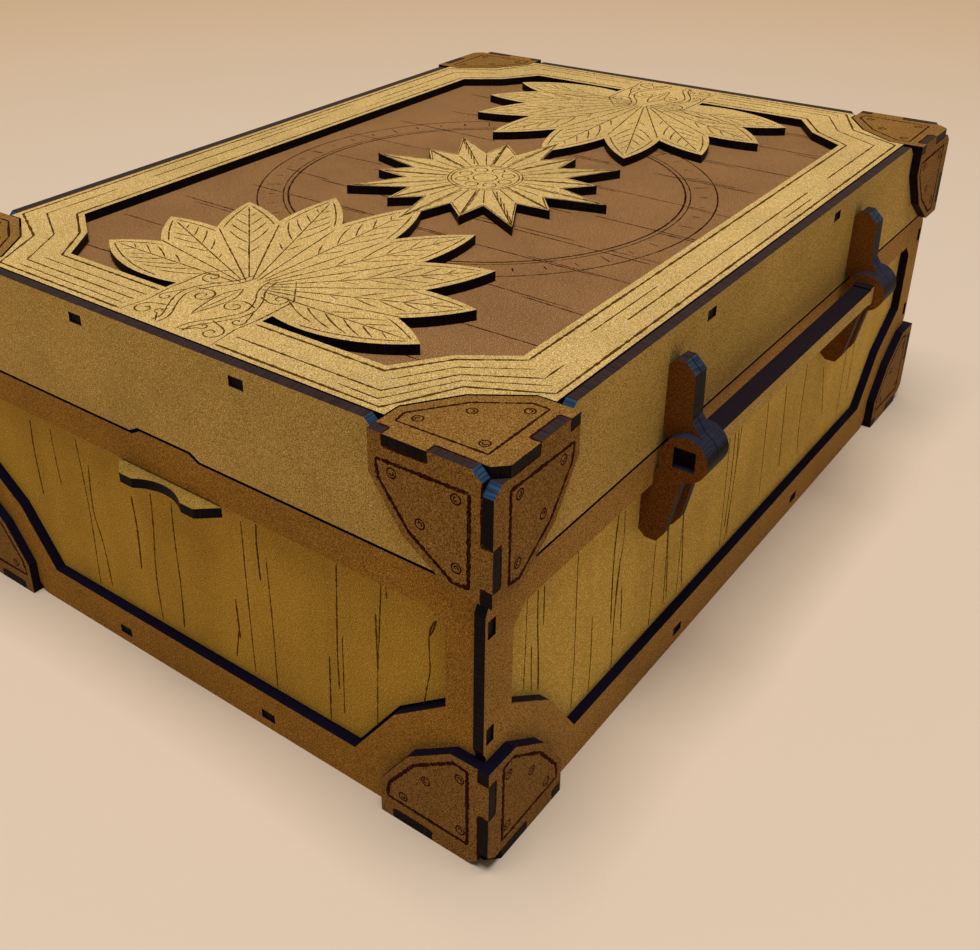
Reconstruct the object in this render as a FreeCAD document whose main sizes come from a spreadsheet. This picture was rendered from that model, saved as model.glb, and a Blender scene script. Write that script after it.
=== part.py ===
"""Dice storage chest: a sheet-built box with a lift lid, a dice tray and a drawer.

Every piece is cut from flat sheet and drawn as its outline. X runs along the chest, with the
drawer at +X. Y runs across it, with the hinge at +Y. Z is up. The origin lies on the ground,
under the centre of the whole object's bounding box. Sizes are in millimetres.
"""

import FreeCAD, Part
import math
import os

import Sketcher

# Driving sizes: alias, value, what it is.
SIZES = [
    ("length", 290.0, "outside length over the end walls"),
    ("width", 206.0, "outside width over the side walls"),
    ("body_height", 80.5, "ground to the top of the body's walls"),
    ("lid_height", 32.7, "height of the lid's walls"),
    ("seam_gap", 0.8, "gap between the body and the closed lid"),
    ("sheet", 3.0, "thickness of the sheet that every piece is cut from"),
    ("tab", 5.0, "width of a tab and of the slot that it fills"),
    ("tab_short", 0.5, "how far a tab ends below the face of the board it passes through"),
    ("side_tab_place", 44.0, "centre of the chest to a tab, along a side wall"),
    ("end_tab_place", 30.0, "centre of the chest to a tab, along an end wall"),
    ("body_finger_count", 5.0, "fingers in a corner of the body"),
    ("lid_finger_count", 3.0, "fingers in a corner of the lid"),
    ("top_rail", 10.0, "height of a frame's top rail"),
    ("bottom_rail", 12.5, "height of a frame's bottom rail"),
    ("side_stile", 10.2, "width of a stile on a side frame"),
    ("end_stile", 11.6, "width of a stile on an end frame"),
    ("window_chamfer", 4.5, "chamfer in the top corners of a frame's window"),
    ("ledge_height", 43.5, "ground to the ledge in a window's bottom corner"),
    ("step_reach", 27.5, "corner edge to the step in a window's bottom corner"),
    ("step_height", 31.5, "ground to that step"),
    ("ramp_reach", 41.0, "corner edge to the foot of the ramp below that step"),
    ("frame_tab_rise", 6.3, "foot of the overhang to the centre of the end frame's lower tab"),
    ("frame_tab_drop", 6.3, "head of the overhang to the centre of the end frame's upper tab"),
    ("overhang", 1.0, "how far a side frame stands past the end frame"),
    ("overhang_clear", 1.0, "least gap between that overhang and a corner bracket's plates"),
    ("overhang_drop", 2.5, "top of the body to the upper end of that overhang"),
    ("overhang_chamfer", 2.0, "chamfer at both ends of that overhang"),
    ("bump_top", 19.0, "width of the bump on the drawer frame's top edge, at its top"),
    ("bump_base", 25.5, "width of that bump at its base"),
    ("bump_height", 1.8, "height of that bump"),
    ("leg", 30.0, "reach of a corner bracket from the chest's corner edge"),
    ("ramp", 3.3, "length of the ramp cut beside a bracket's cap"),
    ("cap_straight", 8.0, "straight end of a bracket's cap"),
    ("cap_middle", 21.0, "middle corner of a cap, from both walls"),
    ("plate_straight", 11.0, "straight end of a bracket's wall plate"),
    ("plate_middle", 24.0, "middle corner of a wall plate, from the cap's face"),
    ("plate_toe", 8.0, "width of a wall plate's narrow end"),
    ("plate_height", 33.0, "height of a wall plate"),
    ("finger_near", 14.0, "cap's finger joint, nearer change, from the corner edge"),
    ("finger_end", 4.0, "cap's finger joint, farther change, from the bracket's end"),
    ("finger_upper", 18.0, "wall plates' finger joint, first change, from the cap's face"),
    ("finger_toe", 4.0, "wall plates' finger joint, second change, from their far end"),
    ("corner_cut", 2.5, "chamfer of the wall plates beside the cap"),
    ("strip_gap", 0.6, "gap between the lid's walls and its overlay"),
    ("inlay_gap", 0.5, "gap between the overlay and a corner cap"),
    ("border", 21.5, "width of the overlay's border, from the outside"),
    ("border_turn", 44.5, "start of the border's slanted corner"),
    ("border_middle", 35.0, "middle of the border's slanted corner, from both walls"),
    ("deck_drop", 8.5, "top of the body to the underside of the tray's deck"),
    ("tray_depth", 24.0, "height of the tray's dividers"),
    ("tray_columns", 3.0, "cells of the tray across the chest"),
    ("tray_rows", 4.0, "cells of the tray along the chest"),
    ("tray_play", 0.3, "gap between a divider's end and the wall"),
    ("drawer_gap", 0.5, "gap round the drawer's front"),
    ("drawer_width", 120.0, "outside width of the drawer's box"),
    ("drawer_headroom", 11.2, "top of the drawer's walls to the underside of the deck"),
    ("drawer_tab_place", 80.0, "centre of the drawer to a tab of its bottom"),
    ("slide_gap", 0.3, "gap under the drawer and beside its runners"),
    ("runner_end", 12.0, "end of a runner to the wall in front of it"),
    ("pull_width", 40.0, "width of the drawer's pull at the frame's face"),
    ("pull_root", 13.0, "centre of the pull to the end of its edge on the drawer's front"),
    ("pull_tenon", 20.0, "width of the pull's tenon"),
    ("pull_out", 4.8, "how far the pull stands out of the frame"),
    ("pull_ear", 14.5, "centre of the pull to the outer corner of an ear"),
    ("pull_scoop", 9.5, "centre of the pull to the end of its scoop"),
    ("pull_waist", 1.8, "how far the scoop's middle stands out of the frame"),
    ("hinge_place", 64.0, "centre of the chest to the middle of a hinge"),
    ("hinge_play", 0.15, "side gap between the hinge's straps and its brackets"),
    ("axis_out", 8.0, "side wall's face to the hinge axis"),
    ("hub_radius", 6.4, "radius of the round hubs"),
    ("bar_side", 6.0, "side of the square hinge bar where the hinges hold it"),
    ("bar_waist", 5.0, "height of the bar between the hinges"),
    ("bar_fit", 0.05, "gap between the bar and its holes"),
    ("bar_inset", 2.4, "outer bracket's face to the end of the bar"),
    ("bar_shoulder", 9.0, "middle of a hinge to the end of the bar's full height"),
    ("strap_reach", 25.7, "height of a strap above the hinge axis"),
    ("strap_width", 7.4, "how far a strap stands out of the lid's wall"),
    ("strap_tenon_low", 12.0, "hinge axis to the lower edge of a strap's tenon"),
    ("strap_tenon_high", 18.0, "hinge axis to the upper edge of a strap's tenon"),
    ("foot_reach", 27.3, "depth of a hinge bracket below the hinge axis"),
    ("foot_width", 7.4, "width of a hinge bracket's foot"),
    ("foot_tenon_low", 22.0, "hinge axis to the lower edge of a foot's tenon"),
    ("foot_tenon_high", 16.0, "hinge axis to the upper edge of a foot's tenon"),
    ("star_radius", 46.0, "radius of the lid's star over its long points"),
    ("star_short", 37.0, "radius of the star over its short points"),
    ("star_valley", 27.0, "radius of the star between its points"),
    ("star_points", 16.0, "points of the star, long and short together"),
    ("bridge_width", 36.0, "width of the bridges that join the ornament to the border"),
    ("spray_inset", 35.0, "end of the lid to the root of a spray of leaves"),
    ("leaf_pairs", 4.0, "pairs of leaves in a spray, beside its middle leaf"),
    ("leaf_turn", 22.5, "angle from one leaf of a spray to the next, in degrees"),
    ("leaf_length", 76.0, "length of a spray's middle leaf"),
    ("leaf_width", 22.0, "width of a spray's middle leaf"),
    ("leaf_shrink", 4.5, "how much shorter each next leaf of a spray is"),
]


# ------------------------------------------------------------------ sizes that drive sketches
class Dim:
    """A size: its value in millimetres, and the spreadsheet expression that gives it."""

    def __init__(self, value, text):
        self.value = float(value)
        self.text = text

    def _join(self, other, sign, value):
        return Dim(value, "(%s %s %s)" % (self.text, sign, other.text))

    def __add__(self, other):
        other = dim(other)
        return self._join(other, "+", self.value + other.value)

    def __sub__(self, other):
        other = dim(other)
        return self._join(other, "-", self.value - other.value)

    def __mul__(self, other):
        other = dim(other)
        return self._join(other, "*", self.value * other.value)

    def __truediv__(self, other):
        other = dim(other)
        return self._join(other, "/", self.value / other.value)

    def __neg__(self):
        return self * -1

    def __radd__(self, other):
        return dim(other) + self

    def __rsub__(self, other):
        return dim(other) - self

    def __rmul__(self, other):
        return dim(other) * self


def dim(number):
    """A plain number as a Dim; a Dim stays as it is."""
    if isinstance(number, Dim):
        return number
    return Dim(number, "(%r)" % float(number))


def lesser(one, other):
    """The smaller of two sizes."""
    return Dim(min(one.value, other.value), "min(%s; %s)" % (one.text, other.text))


class Book:
    """The spreadsheet of driving sizes. book.alias is that size as a Dim."""

    def __init__(self, document):
        cells = document.addObject("Spreadsheet::Sheet", "Sizes")
        for row, (alias, value, note) in enumerate(SIZES, start=1):
            cells.set("A%d" % row, alias)
            cells.set("B%d" % row, str(value))
            cells.setAlias("B%d" % row, alias)
            cells.set("C%d" % row, note)
            setattr(self, alias, Dim(value, "Sizes." + alias))
        document.recompute()


doc = FreeCAD.newDocument("dice_storage_chest")
book = Book(doc)
nodes = {}

# Lengths that many pieces share.
sheet = book.sheet
half_length = book.length / 2
half_width = book.width / 2
height = book.body_height
lid_level = height + book.seam_gap
top_level = lid_level + book.lid_height
rail_level = height - book.top_rail
deck_level = height - book.deck_drop
# The overhang runs between the plates of a foot and those of the lid's bracket above it.
bracket_clear = book.plate_height + book.overhang_clear
overhang_ends = (bracket_clear, lesser(height - book.overhang_drop, top_level - bracket_clear))
frame_tabs = (overhang_ends[0] + book.frame_tab_rise, overhang_ends[1] - book.frame_tab_drop)
# The chest's own centre, from the centre of the bounding box with its pull and its hinge.
centre_x = (sheet - book.pull_out) / 2
centre_y = (sheet - book.axis_out - book.hub_radius) / 2


# ------------------------------------------------------------------ drawing and padding
def vector(point):
    """A 2-D point of Dims as a FreeCAD vector."""
    return FreeCAD.Vector(point[0].value, point[1].value, 0)


def fix_point(sketch, geometry, corner, point):
    """Hold one point of the sketch at its two driving sizes."""
    for kind, size in zip(("DistanceX", "DistanceY"), point):
        rule = Sketcher.Constraint(kind, -1, 1, geometry, corner, size.value)
        index = sketch.addConstraint(rule)
        sketch.setExpression("Constraints[%d]" % index, size.text)


def draw_polygon(sketch, points):
    """A closed polygon with every corner held at its sizes."""
    points = [(dim(a), dim(b)) for a, b in points]
    first = sketch.GeometryCount
    count = len(points)
    ends = zip(points, points[1:] + points[:1])
    sketch.addGeometry([Part.LineSegment(vector(p), vector(q)) for p, q in ends], False)
    joints = []
    for i in range(count):
        joints.append(Sketcher.Constraint("Coincident", first + i, 2, first + (i + 1) % count, 1))
    sketch.addConstraint(joints)
    for i, point in enumerate(points):
        fix_point(sketch, first + i, 1, point)


def draw_circle(sketch, centre, radius):
    """A circle held at its centre and radius."""
    centre = (dim(centre[0]), dim(centre[1]))
    normal = FreeCAD.Vector(0, 0, 1)
    index = sketch.addGeometry(Part.Circle(vector(centre), normal, radius.value), False)
    fix_point(sketch, index, 3, centre)
    rule = sketch.addConstraint(Sketcher.Constraint("Radius", index, radius.value))
    sketch.setExpression("Constraints[%d]" % rule, radius.text)


def new_sketch(body, plane, name):
    """An empty sketch on one of the body's own origin planes."""
    sketch = body.newObject("Sketcher::SketchObject", name)
    support = [f for f in body.Origin.OriginFeatures if f.Role == plane + "_Plane"][0]
    sketch.AttachmentSupport = (support, [""])
    sketch.MapMode = "FlatFace"
    return sketch


def pad(body, sketch, plane, thick):
    """Pad a sketch by one thickness, towards +X, +Y or +Z."""
    feature = body.newObject("PartDesign::Pad", sketch.Name + "_pad")
    feature.Profile = sketch
    feature.Reversed = plane == "XZ"
    feature.setExpression("Length", thick.text)
    sketch.Visibility = False
    return feature


def place(body, x, y, z):
    """Put a piece at its place, measured from the chest's own centre."""
    for axis, size in zip("xyz", (centre_x + x, centre_y + y, dim(z))):
        body.setExpression("Placement.Base." + axis, size.text)


def cut_piece(name, plane, at, outline, holes=(), thick=sheet):
    """One flat piece: an outline with holes, padded by the sheet's thickness."""
    body = doc.addObject("PartDesign::Body", name)
    body.Label = name
    sketch = new_sketch(body, plane, name + "_outline")
    draw_polygon(sketch, outline)
    for hole in holes:
        draw_polygon(sketch, hole)
    pad(body, sketch, plane, thick)
    place(body, *at)
    nodes[name] = body
    return body


def group(name, pieces):
    """Loose identical pieces that share one node."""
    for piece in pieces:
        nodes.pop(piece.Label)
    compound = doc.addObject("Part::Compound", name)
    compound.Label = name
    compound.Links = pieces
    nodes[name] = compound


# ------------------------------------------------------------------ outlines
def mirrored(half):
    """A whole outline from its right half, listed upwards."""
    return half + [(-dim(a), b) for a, b in reversed(half)]


def box(low_a, high_a, low_b, high_b):
    """A rectangle's corners."""
    return [(low_a, low_b), (high_a, low_b), (high_a, high_b), (low_a, high_b)]


def slot(centre, low, high):
    """The slot for one tab, from its centre along the wall and its lower and upper edge."""
    return box(centre - book.tab / 2, centre + book.tab / 2, low, high)


def slot_pair(place_along, low, high):
    """The slots for two tabs, either side of the middle."""
    return [slot(place_along, low, high), slot(-place_along, low, high)]


def tabs_up(face, centres, depth):
    """Tabs on an upright edge, listed upwards. They end a little short of the far face."""
    points = []
    end = face + depth - book.tab_short
    for centre in centres:
        low = centre - book.tab / 2
        high = centre + book.tab / 2
        points += [(face, low), (end, low), (end, high), (face, high)]
    return points


def tabs_back(face, centres, depth):
    """Tabs on a long edge that is listed towards the middle."""
    points = []
    end = face + depth - book.tab_short
    for centre in centres:
        near = centre + book.tab / 2
        far = centre - book.tab / 2
        points += [(near, face), (near, end), (far, end), (far, face)]
    return points


def fingers(low, high, count, inner, first_out):
    """A finger-jointed upright edge, listed upwards. Fingers stand one sheet past inner."""
    points = []
    number = round(count.value)
    step = (high - low) / count
    for i in range(number):
        face = inner + sheet if (i % 2 == 0) == first_out else inner
        points += [(face, low + step * i), (face, low + step * (i + 1))]
    return points


def window(half, stile, gap=0):
    """A frame's window, from half the frame's width. A gap makes what fits inside it."""
    edge = half - stile - gap
    return mirrored([
        (half - book.ramp_reach - gap, book.bottom_rail + gap),
        (half - book.step_reach - gap, book.step_height + gap),
        (edge, book.ledge_height + gap),
        (edge, rail_level - book.window_chamfer - gap),
        (edge - book.window_chamfer, rail_level - gap),
    ])


def bump(gap_side, base):
    """Right half of the bump on the drawer frame's top edge, or of the notch over it."""
    foot = (book.bump_base / 2 + gap_side, base)
    return [foot, (book.bump_top / 2 + gap_side, base + book.bump_height)]


# ------------------------------------------------------------------ body
def plate_at(sign, half, depth):
    """Position of an upright plate: depth counts sheets in from the face at half."""
    if sign > 0:
        return half - sheet * depth
    return sheet * (depth - 1) - half


def floor_and_deck():
    """The two levels of the body, both tabbed into the walls."""
    inner_x = half_length - sheet * 2
    inner_y = half_width - sheet * 2
    for name, level, reach in (("floor", sheet, sheet * 2), ("deck", deck_level, sheet)):
        right = [(inner_x, -inner_y)]
        right += tabs_up(inner_x, (-book.end_tab_place, book.end_tab_place), reach)
        right += [(inner_x, inner_y)]
        top = tabs_back(inner_y, (book.side_tab_place, -book.side_tab_place), reach)
        left = [(-a, -b) for a, b in right]
        bottom = [(-a, -b) for a, b in top]
        holes = runner_slots() if name == "floor" else ()
        cut_piece(name, "XY", (0, 0, level), right + top + left + bottom, holes)


def side_panels():
    """The plain panels behind the side frames, finger-jointed to the end panels."""
    right = [(half_length - book.leg, 0), (half_length - book.leg, sheet)]
    right += fingers(sheet, height, book.body_finger_count, half_length - sheet * 2, True)
    holes = slot_pair(book.side_tab_place, sheet, sheet * 2)
    holes += slot_pair(book.side_tab_place, deck_level, deck_level + sheet)
    for name, sign in (("side_panel_front", -1), ("side_panel_hinge", 1)):
        more = foot_tenon_slots() if sign > 0 else []
        at = (0, plate_at(sign, half_width, 2), 0)
        cut_piece(name, "XZ", at, mirrored(right), holes + more)


def end_panels():
    """The panels behind the end frames. The one at the drawer has the frame's window."""
    right = [(half_width - book.leg, 0), (half_width - book.leg, sheet)]
    right += fingers(sheet, height, book.body_finger_count, half_width - sheet * 2, False)
    holes = slot_pair(book.end_tab_place, sheet, sheet * 2)
    holes += slot_pair(book.end_tab_place, deck_level, deck_level + sheet)
    for name, sign in (("end_panel_far", -1), ("end_panel_drawer", 1)):
        more = [window(half_width, book.end_stile)] if sign > 0 else []
        at = (plate_at(sign, half_length, 2), 0, 0)
        cut_piece(name, "YZ", at, mirrored(right), holes + more)


def side_frames():
    """The window frames on the two long sides. They overhang the end frames a little."""
    low, high = overhang_ends
    cut = book.overhang_chamfer
    nose = half_length + book.overhang
    right = [
        (half_length - book.leg - book.ramp, 0), (half_length - book.leg, sheet),
        (half_length, sheet), (half_length, low), (nose, low + cut),
        (nose, high - cut), (half_length, high), (half_length, height),
    ]
    holes = [window(half_length, book.side_stile)]
    holes += slot_pair(book.side_tab_place, sheet, sheet * 2)
    for centre in frame_tabs:
        low_edge = centre - book.tab / 2
        high_edge = centre + book.tab / 2
        holes.append(box(half_length - sheet, half_length, low_edge, high_edge))
        holes.append(box(-half_length, sheet - half_length, low_edge, high_edge))
    for name, sign in (("side_frame_front", -1), ("side_frame_hinge", 1)):
        cut_piece(name, "XZ", (0, plate_at(sign, half_width, 1), 0), mirrored(right), holes)


def end_frames():
    """The window frames on the two ends, tabbed through the side frames."""
    face = half_width - sheet
    right = [(half_width - book.leg - book.ramp, 0), (half_width - book.leg, sheet)]
    right += [(face, sheet)]
    right += tabs_up(face, frame_tabs, sheet)
    right += [(face, height)]
    holes = [window(half_width, book.end_stile)]
    holes += slot_pair(book.end_tab_place, sheet, sheet * 2)
    for name, sign in (("end_frame_far", -1), ("end_frame_drawer", 1)):
        more = bump(0, height) if sign > 0 else []
        at = (plate_at(sign, half_length, 1), 0, 0)
        cut_piece(name, "YZ", at, mirrored(right + more), holes)


# ------------------------------------------------------------------ corner brackets
def bracket(name, sign_x, sign_y, level, rise):
    """One corner bracket: a cap and two wall plates, finger-jointed to each other.

    Points are distances from the corner edge along the side wall and the end wall, and
    depth from the cap's outer face, which lies at level. rise is 1 under a foot's cap and
    -1 for the lid's, whose plates hang down.
    """
    near = book.finger_near
    leg = book.leg
    far = leg - book.finger_end
    upper = book.finger_upper
    lower = book.plate_height - book.finger_toe
    cap = [
        (0, leg), (0, far), (-sheet, far), (-sheet, near), (0, near), (0, 0),
        (sheet, -sheet), (near, -sheet), (near, 0), (far, 0), (far, -sheet), (leg, -sheet),
        (leg, book.cap_straight), (book.cap_middle, book.cap_middle), (book.cap_straight, leg),
    ]
    outer = [
        (leg, book.plate_straight), (book.cap_middle, book.plate_middle),
        (book.plate_toe, book.plate_height),
    ]
    end_plate = [(book.corner_cut, 0), (near, 0), (near, sheet), (far, sheet), (far, 0), (leg, 0)]
    end_plate += outer
    end_plate += [
        (0, book.plate_height), (0, lower), (-sheet, lower), (-sheet, upper), (0, upper),
        (0, book.corner_cut),
    ]
    side_plate = [(0, sheet), (near, sheet), (near, 0), (far, 0), (far, sheet), (leg, sheet)]
    side_plate += outer
    side_plate += [
        (-sheet, book.plate_height), (-sheet, lower), (0, lower), (0, upper), (-sheet, upper),
        (-sheet, sheet + book.corner_cut),
    ]

    def along_x(distance):
        return (half_length - distance) * sign_x

    def along_y(distance):
        return (half_width - distance) * sign_y

    cap_level = level if rise > 0 else level - sheet
    points = [(along_x(a), along_y(b)) for a, b in cap]
    cut_piece(name + "_cap", "XY", (0, 0, cap_level), points)
    points = [(along_y(b), level + dim(depth) * rise) for b, depth in end_plate]
    at = (plate_at(sign_x, half_length, 0), 0, 0)
    cut_piece(name + "_end_plate", "YZ", at, points)
    points = [(along_x(a), level + dim(depth) * rise) for a, depth in side_plate]
    at = (0, plate_at(sign_y, half_width, 0), 0)
    cut_piece(name + "_side_plate", "XZ", at, points)


def brackets():
    """The eight corner brackets: four under the body, four on the lid."""
    for end, sign_x in (("drawer", 1), ("far", -1)):
        for side, sign_y in (("hinge", 1), ("front", -1)):
            corner = "%s_%s" % (end, side)
            bracket("foot_" + corner, sign_x, sign_y, dim(0), 1)
            bracket("lid_" + corner, sign_x, sign_y, top_level, -1)


# ------------------------------------------------------------------ tray and drawer
def tray_dividers():
    """The loose grid in the tray: long dividers slotted above, cross dividers below."""
    level = deck_level + sheet
    top = book.tray_depth
    half_x = half_length - sheet * 2
    half_y = half_width - sheet * 2
    row_step = half_x * 2 / book.tray_rows
    column_step = half_y * 2 / book.tray_columns
    rows = [row_step * i - half_x for i in range(1, round(book.tray_rows.value))]
    columns = [column_step * i - half_y for i in range(1, round(book.tray_columns.value))]
    play = book.tray_play
    slack = sheet / 2 + play / 2

    long_outline = [(play - half_x, 0), (half_x - play, 0), (half_x - play, top)]
    for x in reversed(rows):
        long_outline += [(x + slack, top), (x + slack, top / 2), (x - slack, top / 2)]
        long_outline += [(x - slack, top)]
    long_outline += [(play - half_x, top)]
    for name, y in zip(("tray_divider_front", "tray_divider_hinge"), columns):
        cut_piece(name, "XZ", (0, y - sheet / 2, level), long_outline)

    cross_outline = [(play - half_y, 0)]
    for y in columns:
        cross_outline += [(y - slack, 0), (y - slack, top / 2), (y + slack, top / 2)]
        cross_outline += [(y + slack, 0)]
    cross_outline += [(half_y - play, 0), (half_y - play, top), (play - half_y, top)]
    pieces = []
    for i, x in enumerate(rows):
        at = (x - sheet / 2, 0, level)
        pieces.append(cut_piece("cross_divider_%d" % i, "YZ", at, cross_outline))
    group("tray_cross_dividers", pieces)


# The drawer's walls stand astride its runners, and its bottom slides on them.
drawer_low = book.bottom_rail + book.slide_gap
drawer_floor = drawer_low + sheet
runner_face = book.drawer_width / 2 - sheet - book.slide_gap
drawer_back = book.drawer_gap + sheet * 2 - half_length
drawer_face = half_length - sheet * 2
drawer_middle = (drawer_face + drawer_back) / 2
drawer_half = (drawer_face - drawer_back) / 2


def runner_slots():
    """Slots in the floor for the tabs of the drawer's runners."""
    slots = []
    for sign in (1, -1):
        low = runner_face - sheet if sign > 0 else -runner_face
        for x in (book.drawer_tab_place, -book.drawer_tab_place):
            slots.append(box(x - book.tab / 2, x + book.tab / 2, low, low + sheet))
    return slots


def runners():
    """Two strips on edge that carry the drawer's bottom and guide its walls."""
    low = sheet * 2
    high = drawer_floor - book.slide_gap
    end = drawer_face - book.runner_end
    half_tab = book.tab / 2
    outline = []
    for centre in (-book.drawer_tab_place, book.drawer_tab_place):
        left = centre - half_tab
        right = centre + half_tab
        outline += [(left, low), (left, sheet), (right, sheet), (right, low)]
    outline = [(-end, low)] + outline + [(end, low), (end, high), (-end, high)]
    cut_piece("runner_front", "XZ", (0, -runner_face, 0), outline)
    cut_piece("runner_hinge", "XZ", (0, runner_face - sheet, 0), outline)


def drawer_front():
    """The front, which fills the drawer frame's window, and its pull."""
    outline = window(half_width, book.end_stile, book.drawer_gap)
    pull_level = rail_level - book.drawer_gap - sheet
    notch = [(book.pull_tenon / 2, rail_level - book.drawer_gap)]
    notch += [(book.pull_tenon / 2, pull_level)]
    middle = len(outline) // 2
    outline = outline[:middle] + mirrored(notch) + outline[middle:]
    cut_piece("drawer_front", "YZ", (half_length - sheet * 2, 0, 0), outline)


def drawer_pull():
    """The pull: a sheet with a scooped front edge between two ears, tenoned in the front."""
    body = doc.addObject("PartDesign::Body", "drawer_pull")
    body.Label = "drawer_pull"
    sketch = new_sketch(body, "XY", "drawer_pull_outline")
    draw_pull(sketch, book.pull_tenon / 2, book.pull_width / 2)
    pad(body, sketch, "XY", sheet)
    place(body, half_length, 0, rail_level - book.drawer_gap - sheet)
    nodes["drawer_pull"] = body


def draw_pull(sketch, half_tenon, half_base):
    """The pull's outline. X is outwards from the frame's face, Y is across."""
    out = book.pull_out
    root = book.pull_root
    front = [
        (out, -book.pull_scoop), (out, -book.pull_ear), (dim(0), -half_base),
        (-sheet, -root), (-sheet, -half_tenon), (-sheet * 2, -half_tenon),
        (-sheet * 2, half_tenon), (-sheet, half_tenon), (-sheet, root),
        (dim(0), half_base), (out, book.pull_ear), (out, book.pull_scoop),
    ]
    lines = [Part.LineSegment(vector(p), vector(q)) for p, q in zip(front, front[1:])]
    middle = FreeCAD.Vector(book.pull_waist.value, 0, 0)
    scoop = Part.Arc(vector(front[-1]), middle, vector(front[0]))
    sketch.addGeometry(lines + [scoop], False)
    last = len(lines)
    rules = []
    for i in range(last - 1):
        rules.append(Sketcher.Constraint("Coincident", i, 2, i + 1, 1))
    sketch.addConstraint(rules)
    ends = (1, 2)
    near_first = sketch.getPoint(last, 1).distanceToPoint(vector(front[-1]))
    start, stop = ends if near_first < sketch.getPoint(last, 2).distanceToPoint(
        vector(front[-1])) else (2, 1)
    sketch.addConstraint(Sketcher.Constraint("Coincident", last - 1, 2, last, start))
    sketch.addConstraint(Sketcher.Constraint("Coincident", last, stop, 0, 1))
    for i, point in enumerate(front[:-1]):
        fix_point(sketch, i, 1, point)
    fix_point(sketch, last - 1, 2, front[-1])
    middle_rule = sketch.addConstraint(Sketcher.Constraint("DistanceX", -1, 1, last, 3,
                                                           sketch.getPoint(last, 3).x))
    rise = (book.pull_out - book.pull_waist)
    radius = (book.pull_scoop * book.pull_scoop / rise + rise) / 2
    sketch.setExpression("Constraints[%d]" % middle_rule, (book.pull_waist + radius).text)


def drawer_box():
    """The drawer's box: four finger-jointed walls round a bottom that stands above their
    lower edges."""
    half_box = book.drawer_width / 2
    wall = deck_level - book.drawer_headroom - drawer_low
    count = book.lid_finger_count
    face = (drawer_middle, 0, 0)

    right = fingers(dim(0), wall, count, drawer_half - sheet, True)
    slots = slot_pair(book.drawer_tab_place, sheet, sheet * 2)
    for name, y in (("drawer_side_front", -half_box), ("drawer_side_hinge", half_box - sheet)):
        cut_piece(name, "XZ", (face[0], y, drawer_low), mirrored(right), slots)

    # The corners under the bottom are cut away, so that these walls pass over the runners.
    over_runner = runner_face - sheet - book.slide_gap
    right = fingers(dim(0), wall, count, half_box - sheet, False)
    right = [(over_runner, 0), (over_runner, sheet), (half_box - sheet, sheet)] + right[1:]
    slots = slot_pair(book.end_tab_place, sheet, sheet * 2)
    for name, x in (("drawer_inner_front", drawer_half - sheet), ("drawer_back", -drawer_half)):
        cut_piece(name, "YZ", (drawer_middle + x, 0, drawer_low), mirrored(right), slots)

    inner_x = drawer_half - sheet
    inner_y = half_box - sheet
    right = [(inner_x, -inner_y)]
    right += tabs_up(inner_x, (-book.end_tab_place, book.end_tab_place), sheet)
    right += [(inner_x, inner_y)]
    top = tabs_back(inner_y, (book.drawer_tab_place, -book.drawer_tab_place), sheet)
    left = [(-a, -b) for a, b in right]
    bottom = [(-a, -b) for a, b in top]
    at = (drawer_middle, 0, drawer_floor)
    cut_piece("drawer_bottom", "XY", at, right + top + left + bottom)


# ------------------------------------------------------------------ lid
def lid_walls():
    """The lid's four walls. Their top corners are cut down to seat the corner caps."""
    shoulder = book.lid_height - sheet
    panel_low = book.lid_height - sheet * 2
    for name, sign in (("lid_wall_front", -1), ("lid_wall_hinge", 1)):
        right = fingers(dim(0), shoulder, book.lid_finger_count, half_length - sheet, True)
        right += [(half_length - book.leg, shoulder)]
        right += [(half_length - book.leg - book.ramp, book.lid_height)]
        holes = slot_pair(book.side_tab_place, panel_low, shoulder)
        holes += strap_tenon_slots() if sign > 0 else []
        at = (0, plate_at(sign, half_width, 1), lid_level)
        cut_piece(name, "XZ", at, mirrored(right), holes)
    for name, sign in (("lid_wall_far", -1), ("lid_wall_drawer", 1)):
        notch = list(reversed(bump(book.seam_gap, dim(0)))) if sign > 0 else []
        right = notch
        right += fingers(dim(0), shoulder, book.lid_finger_count, half_width - sheet, False)
        right += [(half_width - book.leg, shoulder)]
        right += [(half_width - book.leg - book.ramp, book.lid_height)]
        holes = slot_pair(book.end_tab_place, panel_low, shoulder)
        at = (plate_at(sign, half_length, 1), 0, lid_level)
        cut_piece(name, "YZ", at, mirrored(right), holes)


def lid_panel():
    """The lid's panel, one sheet below the top, tabbed through the walls."""
    inner_x = half_length - sheet
    inner_y = half_width - sheet
    right = [(inner_x, -inner_y)]
    right += tabs_up(inner_x, (-book.end_tab_place, book.end_tab_place), sheet)
    right += [(inner_x, inner_y)]
    top = tabs_back(inner_y, (book.side_tab_place, -book.side_tab_place), sheet)
    left = [(-a, -b) for a, b in right]
    bottom = [(-a, -b) for a, b in top]
    at = (0, 0, top_level - sheet * 2)
    cut_piece("lid_panel", "XY", at, right + top + left + bottom)


def ring_of(quarter):
    """A polygon round the lid from the distances of one corner's points to both walls."""
    points = []
    for sign_x, sign_y in ((1, 1), (1, -1), (-1, -1), (-1, 1)):
        corner = [(half_length.value - a, half_width.value - b) for a, b in quarter]
        if sign_x * sign_y < 0:
            corner.reverse()
        points += [FreeCAD.Vector(sign_x * a, sign_y * b, 0) for a, b in corner]
    return Part.Face(Part.makePolygon(points + points[:1]))


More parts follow.
